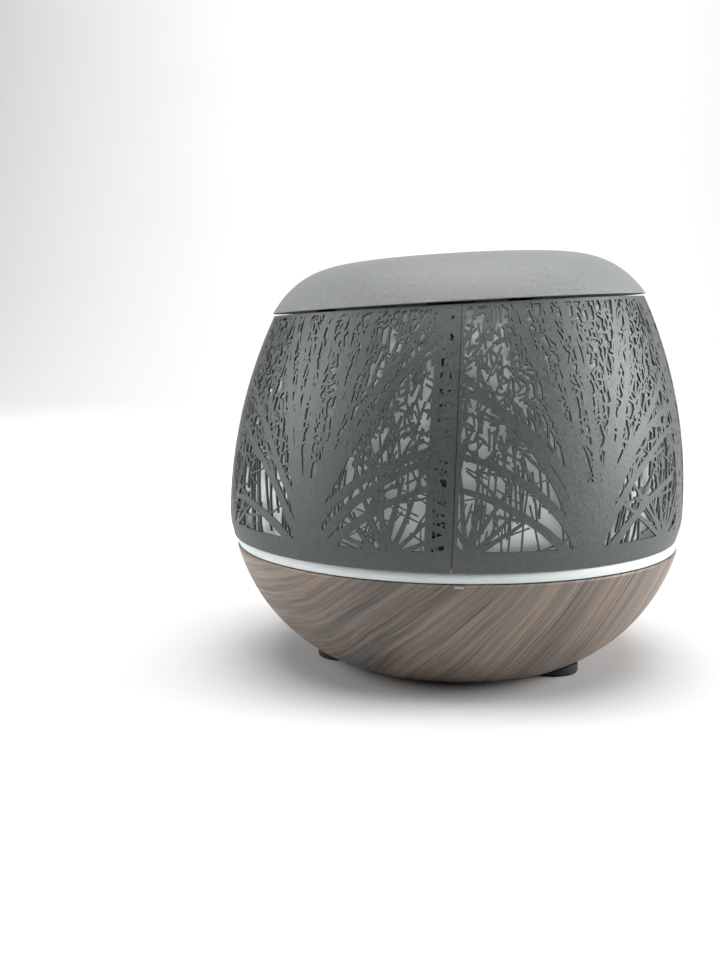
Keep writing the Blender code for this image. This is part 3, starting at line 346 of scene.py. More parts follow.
def ramp(tree, value, low, high, from_low=0.0, from_high=1.0):
    """Map a value from one range to another, clamped."""
    node = tree.nodes.new("ShaderNodeMapRange")
    feed(tree, node, {"Value": value, "From Min": from_low, "From Max": from_high})
    feed(tree, node, {"To Min": low, "To Max": high})
    return node.outputs["Result"]


def mix_colour(tree, share, first, second):
    """Mix two colours. The numbers are the places of a mix node's colour sockets."""
    node = tree.nodes.new("ShaderNodeMix")
    node.data_type = "RGBA"
    feed(tree, node, {0: share, 6: first, 7: second})
    return node.outputs[2]


def opaque(colour, factor=1.0):
    return (*(channel * factor for channel in colour), 1)


def grain_group():
    """Fine grains over soft large clouds, for paints and mouldings."""
    group, taken, given = make_group(
        "Surface Grain",
        (
            ("Vector", "NodeSocketVector", None),
            ("Colour", "NodeSocketColor", (0.5, 0.5, 0.5, 1)),
            ("Grain Scale", "NodeSocketFloat", 1500.0),
            ("Grain Contrast", "NodeSocketFloat", 0.2),
            ("Cloud Contrast", "NodeSocketFloat", 0.06),
            ("Roughness", "NodeSocketFloat", 0.5),
        ),
        (("Colour", "NodeSocketColor"), ("Height", "NodeSocketFloat"), ("Roughness", "NodeSocketFloat")),
    )
    vector = taken.outputs["Vector"]
    fine = noise(group, vector, taken.outputs["Grain Scale"], 2.0, 0.6)
    coarse_scale = math_node(group, "MULTIPLY", taken.outputs["Grain Scale"], 0.37)
    coarse = noise(group, vector, coarse_scale, 2.0)
    clouds = noise(group, vector, 28.0, 3.0)
    height = math_node(group, "MULTIPLY_ADD", coarse, 0.6, math_node(group, "MULTIPLY", fine, 0.8))
    mean_height, mean_cloud = 0.7, 0.5
    grain = math_node(group, "SUBTRACT", height, mean_height)
    grain = math_node(group, "MULTIPLY", grain, taken.outputs["Grain Contrast"])
    cloud = math_node(group, "SUBTRACT", clouds, mean_cloud)
    cloud = math_node(group, "MULTIPLY", cloud, taken.outputs["Cloud Contrast"])
    shade = math_node(group, "ADD", math_node(group, "ADD", grain, cloud), 1.0)
    scaled = group.nodes.new("ShaderNodeVectorMath")
    scaled.operation = "SCALE"
    feed(group, scaled, {0: taken.outputs["Colour"], "Scale": shade})
    rough = math_node(group, "MULTIPLY_ADD", grain, 0.4, taken.outputs["Roughness"])
    feed(group, given, {"Colour": scaled.outputs[0], "Height": height, "Roughness": rough})


def new_finish(name):
    """A new finish's node tree, its shader and the object's coordinates."""
    material = bpy.data.materials.new(name + "_finish")
    material.use_nodes = True
    tree = material.node_tree
    shader = tree.nodes["Principled BSDF"]
    place = tree.nodes.new("ShaderNodeTexCoord").outputs["Object"]
    return tree, shader, place


def add_bump(tree, shader, height, distance, strength=1.0):
    bump = tree.nodes.new("ShaderNodeBump")
    feed(tree, bump, {"Distance": distance, "Strength": strength, "Height": height})
    feed(tree, shader, {"Normal": bump.outputs["Normal"]})


def grained(
    name, colour, roughness, scale=1500.0, contrast=0.2, cloud=0.06, depth=0.00003, metallic=0.0,
    coat=0.0, subsurface=0.0, glow=0.0,
):
    """A moulded, painted or plated finish with its own grain. A glow above zero adds a painted glow:
    emission in the finish's own colour.
    """
    tree, shader, place = new_finish(name)
    grain = tree.nodes.new("ShaderNodeGroup")
    grain.node_tree = bpy.data.node_groups["Surface Grain"]
    feed(tree, grain, {"Vector": place, "Colour": opaque(colour), "Roughness": roughness})
    feed(tree, grain, {"Grain Scale": scale, "Grain Contrast": contrast, "Cloud Contrast": cloud})
    tone, rough = grain.outputs["Colour"], grain.outputs["Roughness"]
    feed(tree, shader, {"Base Color": tone, "Roughness": rough, "Metallic": metallic})
    feed(tree, shader, {"Coat Weight": coat, "Subsurface Weight": subsurface, "Subsurface Scale": 0.002})
    # Painted glow: emission in the surface's own colour, standing in for light shining through translucent
    # plastic.
    if glow:
        feed(tree, shader, {"Emission Color": tone, "Emission Strength": glow})
    add_bump(tree, shader, grain.outputs["Height"], depth)


def wood_print():
    """Grey-brown streaks that sweep upwards across the bowl, printed on satin plastic."""
    tree, shader, place = new_finish("wood_grain_plastic")
    colours = bpy.context.scene.diffuser_finish
    warp = noise(tree, place, 14.0, 2.0)
    parts = tree.nodes.new("ShaderNodeSeparateXYZ")
    feed(tree, parts, {"Vector": place})
    across, deep, up = parts.outputs["X"], parts.outputs["Y"], parts.outputs["Z"]
    bent = math_node(tree, "MULTIPLY", across, math_node(tree, "MULTIPLY_ADD", across, 7.0, 0.95))
    level = math_node(tree, "SUBTRACT", up, bent)
    level = math_node(tree, "MULTIPLY_ADD", warp, 0.012, level)
    level = math_node(tree, "MULTIPLY_ADD", deep, 0.25, level)

    def streaks(fineness, stretch, detail, rough):
        vector = tree.nodes.new("ShaderNodeCombineXYZ")
        for axis, value, scale in (("X", level, fineness), ("Y", across, stretch), ("Z", deep, stretch)):
            feed(tree, vector, {axis: math_node(tree, "MULTIPLY", value, scale)})
        return noise(tree, vector.outputs["Vector"], 1.0, detail, rough)

    bands = streaks(90.0, 9.0, 2.0, 0.5)
    fibres = streaks(760.0, 22.0, 4.0, 0.62)
    pores = streaks(1500.0, 60.0, 2.0, 0.5)
    tone = math_node(tree, "MULTIPLY_ADD", bands, 0.50, math_node(tree, "MULTIPLY", fibres, 0.68))
    share = ramp(tree, tone, 0.0, 1.0, 0.46, 0.70)
    colour = mix_colour(tree, share, opaque(colours.wood_dark), opaque(colours.wood_light))
    grey = ramp(tree, streaks(240.0, 18.0, 3.0, 0.5), 0.0, 0.75, 0.53, 0.70)
    colour = mix_colour(tree, grey, colour, (0.135, 0.135, 0.135, 1))
    dark = ramp(tree, pores, 0.45, 0.0, 0.30, 0.42)
    colour = mix_colour(tree, dark, colour, opaque(colours.wood_dark, 0.45))
    # A pale dash below the rim at the front: its middle and half its width, then the same of its height.
    beside = math_node(tree, "COMPARE", across, 0.0016, 0.0014)
    under = math_node(tree, "COMPARE", up, BOWL_HIGH.z - 0.0007, 0.0003)
    front = math_node(tree, "LESS_THAN", deep)
    mark = math_node(tree, "MULTIPLY", math_node(tree, "MULTIPLY", beside, under), front)
    colour = mix_colour(tree, mark, colour, (0.42, 0.37, 0.35, 1))
    rough = ramp(tree, fibres, 0.52, 0.40, 0.3, 0.7)
    feed(tree, shader, {"Base Color": colour, "Roughness": rough, "Specular IOR Level": 0.45})
    add_bump(tree, shader, fibres, 0.00003, 0.7)


def board_finish():
    """Green solder mask over copper tracks that show faintly."""
    tree, shader, place = new_finish("circuit_board")
    bricks = tree.nodes.new("ShaderNodeTexBrick")
    feed(tree, bricks, {"Vector": place, "Scale": 180.0, "Mortar Size": 0.06})
    feed(tree, bricks, {"Color1": (0.012, 0.11, 0.05, 1), "Color2": (0.015, 0.14, 0.06, 1)})
    feed(tree, bricks, {"Mortar": (0.03, 0.20, 0.09, 1)})
    rough = ramp(tree, noise(tree, place, 900.0, 2.0), 0.30, 0.48)
    feed(tree, shader, {"Base Color": bricks.outputs["Color"], "Roughness": rough})
    add_bump(tree, shader, bricks.outputs["Fac"], 0.00003)


def winding_finish():
    """Enamelled copper wire in close turns."""
    tree, shader, place = new_finish("copper")
    turns = tree.nodes.new("ShaderNodeTexWave")
    turns.bands_direction = "Z"
    feed(tree, turns, {"Vector": place, "Scale": 900.0})
    colour = mix_colour(tree, turns.outputs["Fac"], (0.28, 0.09, 0.03, 1), (0.62, 0.27, 0.12, 1))
    feed(tree, shader, {"Base Color": colour, "Metallic": 1.0, "Roughness": 0.35})
    add_bump(tree, shader, turns.outputs["Fac"], 0.00008)


def make_finishes():
    """Every finish of the object. A grained one's numbers are its roughness, then its grain's own."""
    grain_group()
    colours = bpy.context.scene.diffuser_finish
    grained("cap_paint", colours.cap, 0.56, 1800.0, 0.75, 0.10, 0.00012)
    grained("sleeve_paint", colours.sleeve, 0.50, 1900.0, 1.00, 0.14, 0.00012, metallic=0.25)
    grained("frosted_plastic", colours.frosted, 0.42, 900.0, 0.06, 0.08, 0.00001, subsurface=0.35)
    # The inner shell's frosted plastic, made paler and given a painted glow: painted light through the
    # shell where it would look shaded behind the sleeve.
    grained("frosted_shell_painted_glow", (0.78, 0.81, 0.81), 0.50, 900.0, 0.05, 0.06, 0.00001, glow=0.18)
    grained("lamp_plastic", (0.80, 0.76, 0.50), 0.30, 700.0, 0.10, subsurface=0.3)
    grained("white_plastic", (0.74, 0.74, 0.72), 0.38, 1200.0, 0.05, 0.04, 0.00001)
    wood_print()
    grained("dark_plastic", (0.022, 0.022, 0.023), 0.46, 1800.0, 0.60, 0.20, 0.00003)
    grained("smoked_plastic", (0.015, 0.010, 0.014), 0.10, 500.0, 0.2, coat=0.6)
    grained("rubber", (0.013, 0.013, 0.013), 0.75, 1500.0, 0.70, 0.30, 0.00004)
    grained("silicone", (0.52, 0.53, 0.53), 0.62, 900.0, 0.06, subsurface=0.2)
    grained("steel", (0.56, 0.56, 0.55), 0.27, 2400.0, 0.30, 0.10, 0.00001, metallic=1.0)
    winding_finish()
    grained("can_sleeve", (0.035, 0.045, 0.085), 0.28, 600.0, 0.15, coat=0.4)
    board_finish()
    grained("lead_cover", (0.035, 0.035, 0.037), 0.42, 1200.0, 0.35, 0.10)


def finish_of(slot):
    name = slot + "_finish"
    if name not in bpy.data.materials:
        raise RuntimeError(f"finish {slot} hasn't been made")
    return bpy.data.materials[name]


# The sleeve's cut sheets


class CutSheet:
    """Strips of metal laid flat, as (distance round the cover, height), to be joined as one sheet."""

    def __init__(self):
        self.corners = []
        self.strips = []

    def strip(self, points, start_width, end_width):
        """A strip along a run of points, its width changing from one end to the other."""
        base = len(self.corners)
        last = len(points) - 1
        for index, point in enumerate(points):
            along = points[min(index + 1, last)] - points[max(index - 1, 0)]
            side = Vector((-along.y, along.x)).normalized()
            half = side * (start_width + (end_width - start_width) * index / last) / 2
            self.corners += [point + half, point - half]
        for index in range(last):
            start = base + 2 * index
            self.strips.append([start, start + 1, start + 3, start + 2])

    def block(self, left, bottom, right, top):
        """A plain strip between two upright and two level lines."""
        middle = (bottom + top) / 2
        self.strip([Vector((left, middle)), Vector((right, middle))], top - bottom, top - bottom)

    def joined(self):
        """The strips' union as a flat shape. A constrained triangulation finds where they overlap."""
        corners, _, faces, _, _, owners = delaunay_2d_cdt(self.corners, [], self.strips, 1, 0.0000002)
        shape = bmesh.new()
        verts = [shape.verts.new((corner.x, corner.y, 0)) for corner in corners]
        for face, owner in zip(faces, owners):
            if owner:
                shape.faces.new([verts[index] for index in face])
        loose = [vert for vert in shape.verts if not vert.link_faces]
        bmesh.ops.delete(shape, geom=loose, context="VERTS")
        bmesh.ops.remove_doubles(shape, verts=shape.verts, dist=0.00004)
        bmesh.ops.dissolve_limit(
            shape, angle_limit=0.02, use_dissolve_boundaries=False, verts=shape.verts, edges=shape.edges
        )
        return shape


def lay_bough(sheet, chance, start, heading, reach, width, tip, bend):
    """Lay one bough whose heading (0 is upright) turns steadily, and return its points and headings."""
    count = max(3, round(reach / 0.005))
    points = [Vector(start)]
    headings = []
    for _ in range(count):
        heading += bend / count + chance.gauss(0, 0.05)
        headings.append(heading)
        points.append(points[-1] + Vector((math.sin(heading), math.cos(heading))) * reach / count)
    sheet.strip(points, width, tip)
    return points, headings


def lay_side_boughs(sheet, chance, run, width, reach):
    """Branches that leave a bough on alternate sides."""
    points, headings = run
    side = chance.choice((-1, 1))
    for index in range(2, len(headings), 2):
        side = -side
        heading = headings[index] + side * chance.uniform(0.30, 0.60)
        share = 1 - index / len(headings) * 0.5
        lay_bough(
            sheet, chance, points[index], heading, reach * share * chance.uniform(0.7, 1.2), width * share,
            width * 0.45, -side * 0.25,
        )


def lay_tree(sheet, chance, foot, bottom):
    """A trunk that forks into upright boughs, with boughs that sweep out low on both sides."""
    size = pattern()
    root = Vector((foot, bottom))
    fork = Vector((foot, bottom + size.fork))
    sheet.strip([root, (root + fork) / 2, fork], size.trunk, size.trunk * 0.82)
    # Upright boughs: the place across the trunk, in its widths, and the heading.
    uprights = ((-0.40, -0.20), (-0.14, -0.05), (0.13, 0.07), (0.40, 0.19))
    for offset, heading in uprights:
        start = fork + Vector((offset * size.trunk, -0.006 - 0.006 * (1 - abs(offset) * 2)))
        heading += chance.gauss(0, 0.02)
        run = lay_bough(sheet, chance, start, heading, 0.066, size.bough * 0.66, 0.0020, heading * 0.9)
        lay_side_boughs(sheet, chance, (run[0][4:], run[1][4:]), 0.0016, 0.018)
    # Sweeping boughs: height on the trunk, heading, reach and how far they turn.
    sweeps = (
        (0.002, 0.66, 0.046, 0.75), (0.007, 0.52, 0.056, 0.85), (0.012, 0.42, 0.064, 0.90),
        (0.017, 0.36, 0.068, 0.70), (0.022, 0.28, 0.070, 0.45),
    )
    for side in (-1, 1):
        for rise, heading, reach, turn in sweeps:
            level = bottom + rise + chance.uniform(-0.0015, 0.0015)
            start = Vector((foot + side * size.trunk * 0.34, level))
            turn = side * (turn + chance.uniform(-0.15, 0.15))
            run = lay_bough(sheet, chance, start, side * heading, reach, size.bough * 0.72, 0.0016, turn)
            lay_side_boughs(sheet, chance, (run[0][2:], run[1][2:]), 0.0015, 0.020)


def lay_bush(sheet, chance, foot, bottom):
    """Low thin boughs that fan out from the bottom band."""
    count, spread_angle = 9, 2.4
    for step in range(count):
        heading = spread_angle * step / (count - 1) - spread_angle / 2 + chance.gauss(0, 0.06)
        start = Vector((foot + chance.gauss(0, 0.001), bottom))
        reach = chance.uniform(0.018, 0.034)
        run = lay_bough(sheet, chance, start, heading, reach, 0.0018, 0.0008, -heading * 0.2)
        if step % 2:
            lay_side_boughs(sheet, chance, run, 0.0010, 0.010)


def lay_twigs(sheet, chance, half, bottom, top):
    """Thin steep twigs across the low windows, and a dense web of short ones above."""
    size = pattern()
    columns = int(2 * half / size.cell)
    rows = int((top - bottom) / size.cell)
    window, fade = 0.021, 0.014  # Height of the open windows, and of the change to the dense web.
    low_count, more_above, steep_share = 850, 400, 0.64
    for row in range(rows):
        for column in range(columns):
            across = -half + (column + chance.random()) * size.cell
            height = bottom + (row + chance.random()) * size.cell
            dense = (height - bottom - window) / fade + 0.35 * math.sin(across * 160 + 1)
            dense = max(0.0, min(1.0, dense))
            reach = size.twig_length + (size.web_length - size.twig_length) * dense
            wanted = low_count + more_above * dense
            if chance.random() > wanted * size.cell ** 2 / reach:
                continue
            steep = chance.random() < steep_share
            lean = 0.22 * math.sin(across * 90) + chance.gauss(0.0, 0.13 + 0.22 * dense)
            heading = lean if steep else chance.choice((-1, 1)) * chance.gauss(1.15, 0.22)
            width = size.twig + (size.web - size.twig) * dense * chance.uniform(0.8, 1.15)
            reach *= chance.uniform(0.7, 1.3) if steep else 0.55
            along = Vector((math.sin(heading), math.cos(heading))) * reach / 2
            bow = Vector((along.y, -along.x)) * chance.gauss(0, 0.06)
            middle = Vector((across, height))
            sheet.strip([middle - along, middle + bow, middle + along], width, width)


def lay_hems(sheet, chance, half, bottom, top):
    """Plain strips beside the seams, with two columns of small holes along one of them."""
    size = pattern()
    hem = size.hem
    sheet.block(-half, bottom, -half + hem * 0.5, top)
    sheet.block(half - hem, bottom, half, top)
    sheet.block(half - 3.4 * hem, bottom, half - 2.5 * hem, top)
    across = half - hem * 1.75
    height = bottom
    while height < top:
        tilt = Vector((hem * 0.95, chance.uniform(-0.0012, 0.0012)))
        middle = Vector((across, height))
        width = chance.uniform(0.0012, 0.0036)
        sheet.strip([middle - tilt, middle + tilt], width, width)
        height += width / 2 + chance.uniform(0.0016, 0.0030)
    for _ in range(int((top - bottom) / 0.0022)):
        middle = Vector((across + chance.gauss(0, 0.0005), chance.uniform(bottom, top)))
        rise = Vector((chance.gauss(0, 0.0005), chance.uniform(0.0008, 0.0030)))
        sheet.strip([middle - rise, middle + rise], 0.0009, 0.0007)


def edge_height(across, middle):
    """Height of the sleeve's slanted top edge at a distance round a panel from its middle."""
    size = form()
    azimuth = middle + across / size.radius
    out = sleeve_radius(size.top) * math.sin(azimuth) + size.lean * (size.top - size.lean_start)
    return size.top - EDGE_GAP + out * math.tan(size.slant)


def bent_round(shape, middle, inset=0.0):
    """Bend a flat sheet round the cover's leaning side."""
    size = form()
    for vert in shape.verts:
        azimuth = middle + vert.co.x / size.radius
        height = vert.co.y
        out = sleeve_radius(height) - inset
        vert.co = leaned(Vector((out * math.sin(azimuth), -out * math.cos(azimuth), height)))


def trim(shape, point, normal, clear=True):
    """Cut a shape along a plane, and clear away what lies beyond it."""
    geometry = list(shape.verts) + list(shape.edges) + list(shape.faces)
    bmesh.ops.bisect_plane(
        shape, geom=geometry, dist=0.000001, plane_co=point, plane_no=normal, clear_outer=clear
    )


def drop_loose(shape):
    """Take away the scraps that hang on nothing, and keep the largest linked piece."""
    waiting = set(shape.faces)
    pieces = []
    while waiting:
        piece = set()
        border = [waiting.pop()]
        while border:
            face = border.pop()
            piece.add(face)
            linked = {other for edge in face.edges for other in edge.link_faces} & waiting
            waiting -= linked
            border += linked
        pieces.append(piece)
    pieces.sort(key=len)
    scraps = [face for piece in pieces[:-1] for face in piece]
    bmesh.ops.delete(shape, geom=scraps, context="FACES")


def add_backing(shape, half, bottom, top, middle):
    """Add the bent strip that closes the seam from behind."""
    hem = pattern().hem
    width = 3.2 * hem
    scale = Matrix.Diagonal((width, top - bottom - 0.002, 1, 1))
    spot = Matrix.Translation((half + hem / 2 - width / 2, (top + bottom) / 2, 0))
    strip = bmesh.new()
    bmesh.ops.create_grid(strip, x_segments=3, y_segments=24, size=0.5)
    bmesh.ops.transform(strip, matrix=spot @ scale, verts=strip.verts)
    bent_round(strip, middle, inset=form().sheet * 1.5)
    mesh = bpy.data.meshes.new("backing")
    strip.to_mesh(mesh)
    strip.free()
    shape.from_mesh(mesh)
    bpy.data.meshes.remove(mesh)


def cut_panel(number):
    """One sheet of the sleeve: cut flat, then bent."""
    size, lattice = form(), pattern()
    chance = random.Random(lattice.seed * 100 + number)
    middle = math.radians(360 / PANEL_COUNT * (number - 0.5))
    half = size.radius * math.pi / PANEL_COUNT - lattice.seam / 2
    bottom = RING_HIGH.z + CLEARANCE
    top = size.top + size.radius * math.tan(size.slant)
    band = bottom + lattice.band
    sheet = CutSheet()
    sheet.block(-half, bottom, half, band)
    places = spread(-half, half, 14)
    rim = [Vector((across, edge_height(across, middle) - lattice.rim)) for across in places]
    sheet.strip(rim, 2 * lattice.rim, 2 * lattice.rim)
    lay_hems(sheet, chance, half, bottom, top)
    lay_tree(sheet, chance, TREE_FEET.get(number, chance.uniform(-0.006, 0.006)), bottom)
    lay_bush(sheet, chance, -half + 0.004, band - 0.002)
    lay_bush(sheet, chance, half * 0.60, band - 0.002)
    lay_twigs(sheet, chance, half, band - 0.004, top)
    shape = sheet.joined()
    drop_loose(shape)
    trim(shape, (half, 0, 0), (1, 0, 0))
    trim(shape, (-half, 0, 0), (-1, 0, 0))
    trim(shape, (0, bottom, 0), (0, -1, 0))
    for across in spread(-half, half, int(2 * half / lattice.bend_step))[1:-1]:
        trim(shape, (across, 0, 0), (1, 0, 0), clear=False)
    for height in spread(bottom, top, int((top - bottom) / lattice.bend_step))[1:-1]:
        trim(shape, (0, height, 0), (0, 1, 0), clear=False)
    bmesh.ops.triangulate(shape, faces=shape.faces)
    bent_round(shape, middle)
    add_backing(shape, half, bottom, top, middle)
    plane = top_frame(-EDGE_GAP)
    trim(shape, plane.translation, plane.col[2].to_3d())
    bmesh.ops.recalc_face_normals(shape, faces=shape.faces)
    level = Vector((1, 1, 0))
    inward = [face for face in shape.faces if face.normal.dot(face.calc_center_median() * level) < 0]
    bmesh.ops.reverse_faces(shape, faces=inward)
    item = make_piece(f"cut_sheet_{number}", shape)
    wall = item.modifiers.new("sheet", "SOLIDIFY")
    wall.thickness = size.sheet
    wall.offset = -1
    apply_modifiers(item)
    return item


class DIFFUSER_OT_finishes(bpy.types.Operator):
    """Make the finishes and give them to the CAD pieces that stay as they are"""

    bl_idname = "diffuser.finishes"
    bl_label = "Finishes"

    def execute(self, context):
        make_finishes()
        slots = {row["node"]: row["material_slot"] for row in frame["record"]["subparts"]}
        for name, node in frame["nodes"].items():
            if not node.material_slots:
                node.data.materials.append(None)
            for slot in node.material_slots:
                slot.material = finish_of(slots[name])
        return {"FINISHED"}


class DIFFUSER_OT_sleeve(bpy.types.Operator):
    """Cut and bend the five sheets of the metal sleeve"""

    bl_idname = "diffuser.sleeve"
    bl_label = "Sleeve"

    def execute(self, context):
        for number in range(1, PANEL_COUNT + 1):
            item = cut_panel(number)
            if not item.data.polygons:
                raise RuntimeError(f"sheet {number} of the sleeve came out empty")
            fit_piece(item, "cover", "sleeve_paint", f"sleeve_panel_{number}")
        return {"FINISHED"}


def cap_height(radius, edge, rise):
    """Height of the cap's dome over its edge, at a radius."""
    return rise * (1 - (radius / edge) ** CAP_FLATNESS)


class DIFFUSER_OT_cap(bpy.types.Operator):
    """Turn the domed cap with its dish, mist outlet and screw bosses"""

    bl_idname = "diffuser.cap"
    bl_label = "Cap"

    def execute(self, context):
        size = form()
        edge = sleeve_radius(size.top) + size.cap_lip
        outlet, boss, boss_ring, boss_foot = 0.0085, 0.0035, 0.0460, 0.0010
        brim = cap_height(DISH_RADIUS, edge, size.cap_rise)
        dish = brim - DISH_DEPTH
        outer = [edge * math.sqrt(1 - step ** 1.4) for step in spread(0, 1, 34)]
        outer = [radius for radius in outer if radius > DISH_RADIUS * 1.08]
        profile = [(outlet, dish), (DISH_RADIUS - DISH_DEPTH, dish), (DISH_RADIUS, brim)]
        profile += [(radius, cap_height(radius, edge, size.cap_rise)) for radius in reversed(outer)]
        inner_edge, inner_rise = edge - size.cap_wall, size.cap_rise - size.cap_wall
        inner = [radius - size.cap_wall for radius in outer[::2]]
        profile += [(radius, cap_height(radius, inner_edge, inner_rise)) for radius in inner]
        profile += [(DISH_RADIUS, dish - size.cap_wall), (outlet, dish - size.cap_wall)]
        shape = rounded(spun(profile), 0.0005, angle=24)
        for azimuth in (30, 150, 270):
            at = facing(azimuth) @ Matrix.Translation((boss_ring, 0, 0))
            add_rod(shape, boss, CLEARANCE - boss_foot, size.cap_rise - size.cap_wall * 1.6, at)
        item = make_piece("domed_cap", shape, top_frame())
        fit_piece(item, "cover", "cap_paint", "top_cap")
        return {"FINISHED"}


class DIFFUSER_OT_shell(bpy.types.Operator):
    """Turn the pale inner shell and the mist guide under the cap"""

    bl_idname = "diffuser.shell"
    bl_label = "Inner Shell"

    def execute(self, context):
        size = form()
        inset = size.sheet + size.shell_gap
        bottom = RING_HIGH.z + CLEARANCE
        flange_wall, plate_top, plate_bottom = 0.0012, -0.0010, -0.0028
        flange_top = bottom + flange_wall
        flange = sleeve_radius(bottom) - size.sheet - CLEARANCE
        top = size.top + size.radius * math.tan(size.slant)
        heights = spread(top, flange_top, 25)
        profile = [(sleeve_radius(height) - inset, height) for height in heights]
        profile += [(flange, flange_top), (flange, bottom)]
        heights[-1] = bottom
        for height in reversed(heights):
            profile.append((sleeve_radius(height) - inset - size.shell_wall, height))
        shape = spun(profile)
        for vert in shape.verts:
            vert.co = leaned(vert.co)
        plane = top_frame(plate_bottom - CLEARANCE)
        trim(shape, plane.translation, plane.col[2].to_3d())
        rims = [edge for edge in shape.edges if edge.is_boundary]
        bmesh.ops.bridge_loops(shape, edges=rims)
        bmesh.ops.recalc_face_normals(shape, faces=shape.faces)
        item = make_piece("pale_shell", shape)
        # The shell takes the paler frosted plastic with a painted glow, in place of its slot's own finish.
        fit_piece(item, "cover", "frosted_plastic", "inner_shell", finish="frosted_shell_painted_glow")

        plate = sleeve_radius(size.top) - inset - CLEARANCE
        bore, wall, flare, bell_height = 0.0090, 0.0016, 0.0155, 0.0120
        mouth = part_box("mist_guide")[0].z - size.top
        neck = mouth + bell_height
        tube = bore + wall

        def bell(radius):
            turns = [(step, 1 - math.cos(step * math.pi / 2)) for step in spread(0, 1, 9)]
            return [(radius + (flare - bore) * out, neck + (mouth - neck) * down) for down, out in turns]

        brim = cap_height(DISH_RADIUS, sleeve_radius(size.top) + size.cap_lip, size.cap_rise)
        chimney_top = brim - DISH_DEPTH - size.cap_wall - CLEARANCE
        guide = [(tube, chimney_top), (tube, plate_top), (plate, plate_top), (plate, plate_bottom)]
        guide += [(tube, plate_bottom), *bell(tube), *reversed(bell(bore)), (bore, chimney_top)]
        shape = rounded(spun(guide, 96), 0.0003)
        item = make_piece("mist_funnel", shape, top_frame())
        fit_piece(item, "cover", "white_plastic", "mist_guide")
        return {"FINISHED"}


class DIFFUSER_OT_ring(bpy.types.Operator):
    """Turn the frosted light ring and the gasket below it"""

    bl_idname = "diffuser.ring"
    bl_label = "Light Ring"

    def execute(self, context):
        outer, inner, bulge = RING_HIGH.x, 0.0680, 0.0002
        middle = (RING_LOW.z + RING_HIGH.z) / 2
        profile = [(outer - bulge, RING_HIGH.z), (outer, middle), (outer - bulge, RING_LOW.z)]
        profile += [(inner, RING_LOW.z), (inner, RING_HIGH.z)]
        item = make_piece("frosted_ring", rounded(spun(profile, FINE_STEPS), 0.0004))
        fit_piece(item, "base", "frosted_plastic", "light_ring")
        low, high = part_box("tank_gasket")
        profile = [(high.x, high.z), (high.x, low.z), (inner + 0.001, low.z), (inner + 0.001, high.z)]
        item = make_piece("soft_gasket", rounded(spun(profile), 0.0003))
        fit_piece(item, "base", "silicone", "tank_gasket")
        return {"FINISHED"}


def button_frame(across):
    """Frame on the bowl's rear wall, with local +Z pointing out along the wall's normal."""
    size = form()
    radius = bowl_radius(BUTTON_HEIGHT)
    down = math.asin((size.bowl_arc_height - BUTTON_HEIGHT) / size.bowl_arc)
    sink = across ** 2 / (2 * radius) * math.cos(down)
    normal = Matrix.Rotation(-math.pi / 2 - down, 4, "X")
    at = Matrix.Translation((across, radius, BUTTON_HEIGHT))
    return at @ normal @ Matrix.Translation((0, 0, -sink))


class DIFFUSER_OT_bowl(bpy.types.Operator):
    """Turn the wood-grain bowl and cut its openings for the buttons, window, jack and fan"""

    bl_idname = "diffuser.bowl"
    bl_label = "Bowl"

    def execute(self, context):
        size = form()
        ground, floor, rim = BOWL_LOW.z, 0.0056, BOWL_HIGH.z
        ledge = COVER_HIGH.z + CLEARANCE
        hole, opening = COVER_HIGH.x + CLEARANCE, 0.0245
        lip, window, jack_radius, jack_height, jack_face = 0.0005, 0.0024, 0.0042, 0.0045, 0.0505
        peg, peg_height, screw = 0.0033, 0.0022, 0.0018
        profile = [(bowl_radius(rim) - lip, rim), (bowl_radius(rim - lip), rim - lip)]
        profile += [(bowl_radius(height), height) for height in spread(rim - 2 * lip, ground, 40)]
        profile += [(hole, ground), (hole, ledge), (opening, ledge), (opening, floor)]
        profile += [(bowl_radius(height, size.bowl_wall), height) for height in spread(floor, rim, 18)]
        item = make_piece("wood_grain_bowl", spun(profile, FINE_STEPS))
        cuts = bmesh.new()
        for across in (-BUTTON_ACROSS, BUTTON_ACROSS):
            add_rod(cuts, BUTTON_RADIUS + CLEARANCE, -0.008, 0.008, button_frame(across), 48)
        add_rod(cuts, window + CLEARANCE, -0.006, 0.006, button_frame(0), 48)
        jack_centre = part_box("main_board")[1].z + CLEARANCE + jack_height
        jack = facing(110) @ Matrix.Translation((0, 0, jack_centre))
        jack = jack @ Matrix.Rotation(math.pi / 2, 4, "Y")
        add_rod(cuts, jack_radius + CLEARANCE, jack_face, size.radius, jack, 48)
        for azimuth in FOOT_AZIMUTHS:
            at = facing(azimuth) @ Matrix.Translation((FOOT_RING, 0, 0))
            add_rod(cuts, peg, 0, ground + peg_height, at)
            add_rod(cuts, screw, 0, floor + 0.001, at)
        cut_away(item, cuts)
        fit_piece(item, "base", "wood_grain_plastic", "base_bowl", angle=28)
        return {"FINISHED"}


class DIFFUSER_OT_feet(bpy.types.Operator):
    """Shape the three rubber feet to the bowl's underside"""

    bl_idname = "diffuser.feet"
    bl_label = "Feet"

    def execute(self, context):
        ground, radius, edge = BOWL_LOW.z, 0.0085, 0.0008
        heights = spread(BOWL_HIGH.z, ground, 40)
        for number, azimuth in enumerate(FOOT_AZIMUTHS, 1):
            shape = bmesh.new()
            at = facing(azimuth) @ Matrix.Translation((FOOT_RING, 0, 0))
            add_rod(shape, radius, 0, ground * 3, at, 64)
            bottom = [line for line in shape.edges if all(vert.co.z < 0.0001 for vert in line.verts)]
            bmesh.ops.bevel(
                shape, geom=bottom, offset=edge, segments=4, profile=0.5, affect="EDGES", material=-1
            )
            item = make_piece(f"soft_foot_{number}", shape)
            room = [(0, BOWL_HIGH.z)]
            room += [(bowl_radius(height) + CLEARANCE, height - CLEARANCE) for height in heights]
            room.append((0, ground - CLEARANCE))
            cut_away(item, spun(room, 96, closed=False))
            fit_piece(item, "base", "rubber", f"rubber_foot_{number}")
        return {"FINISHED"}


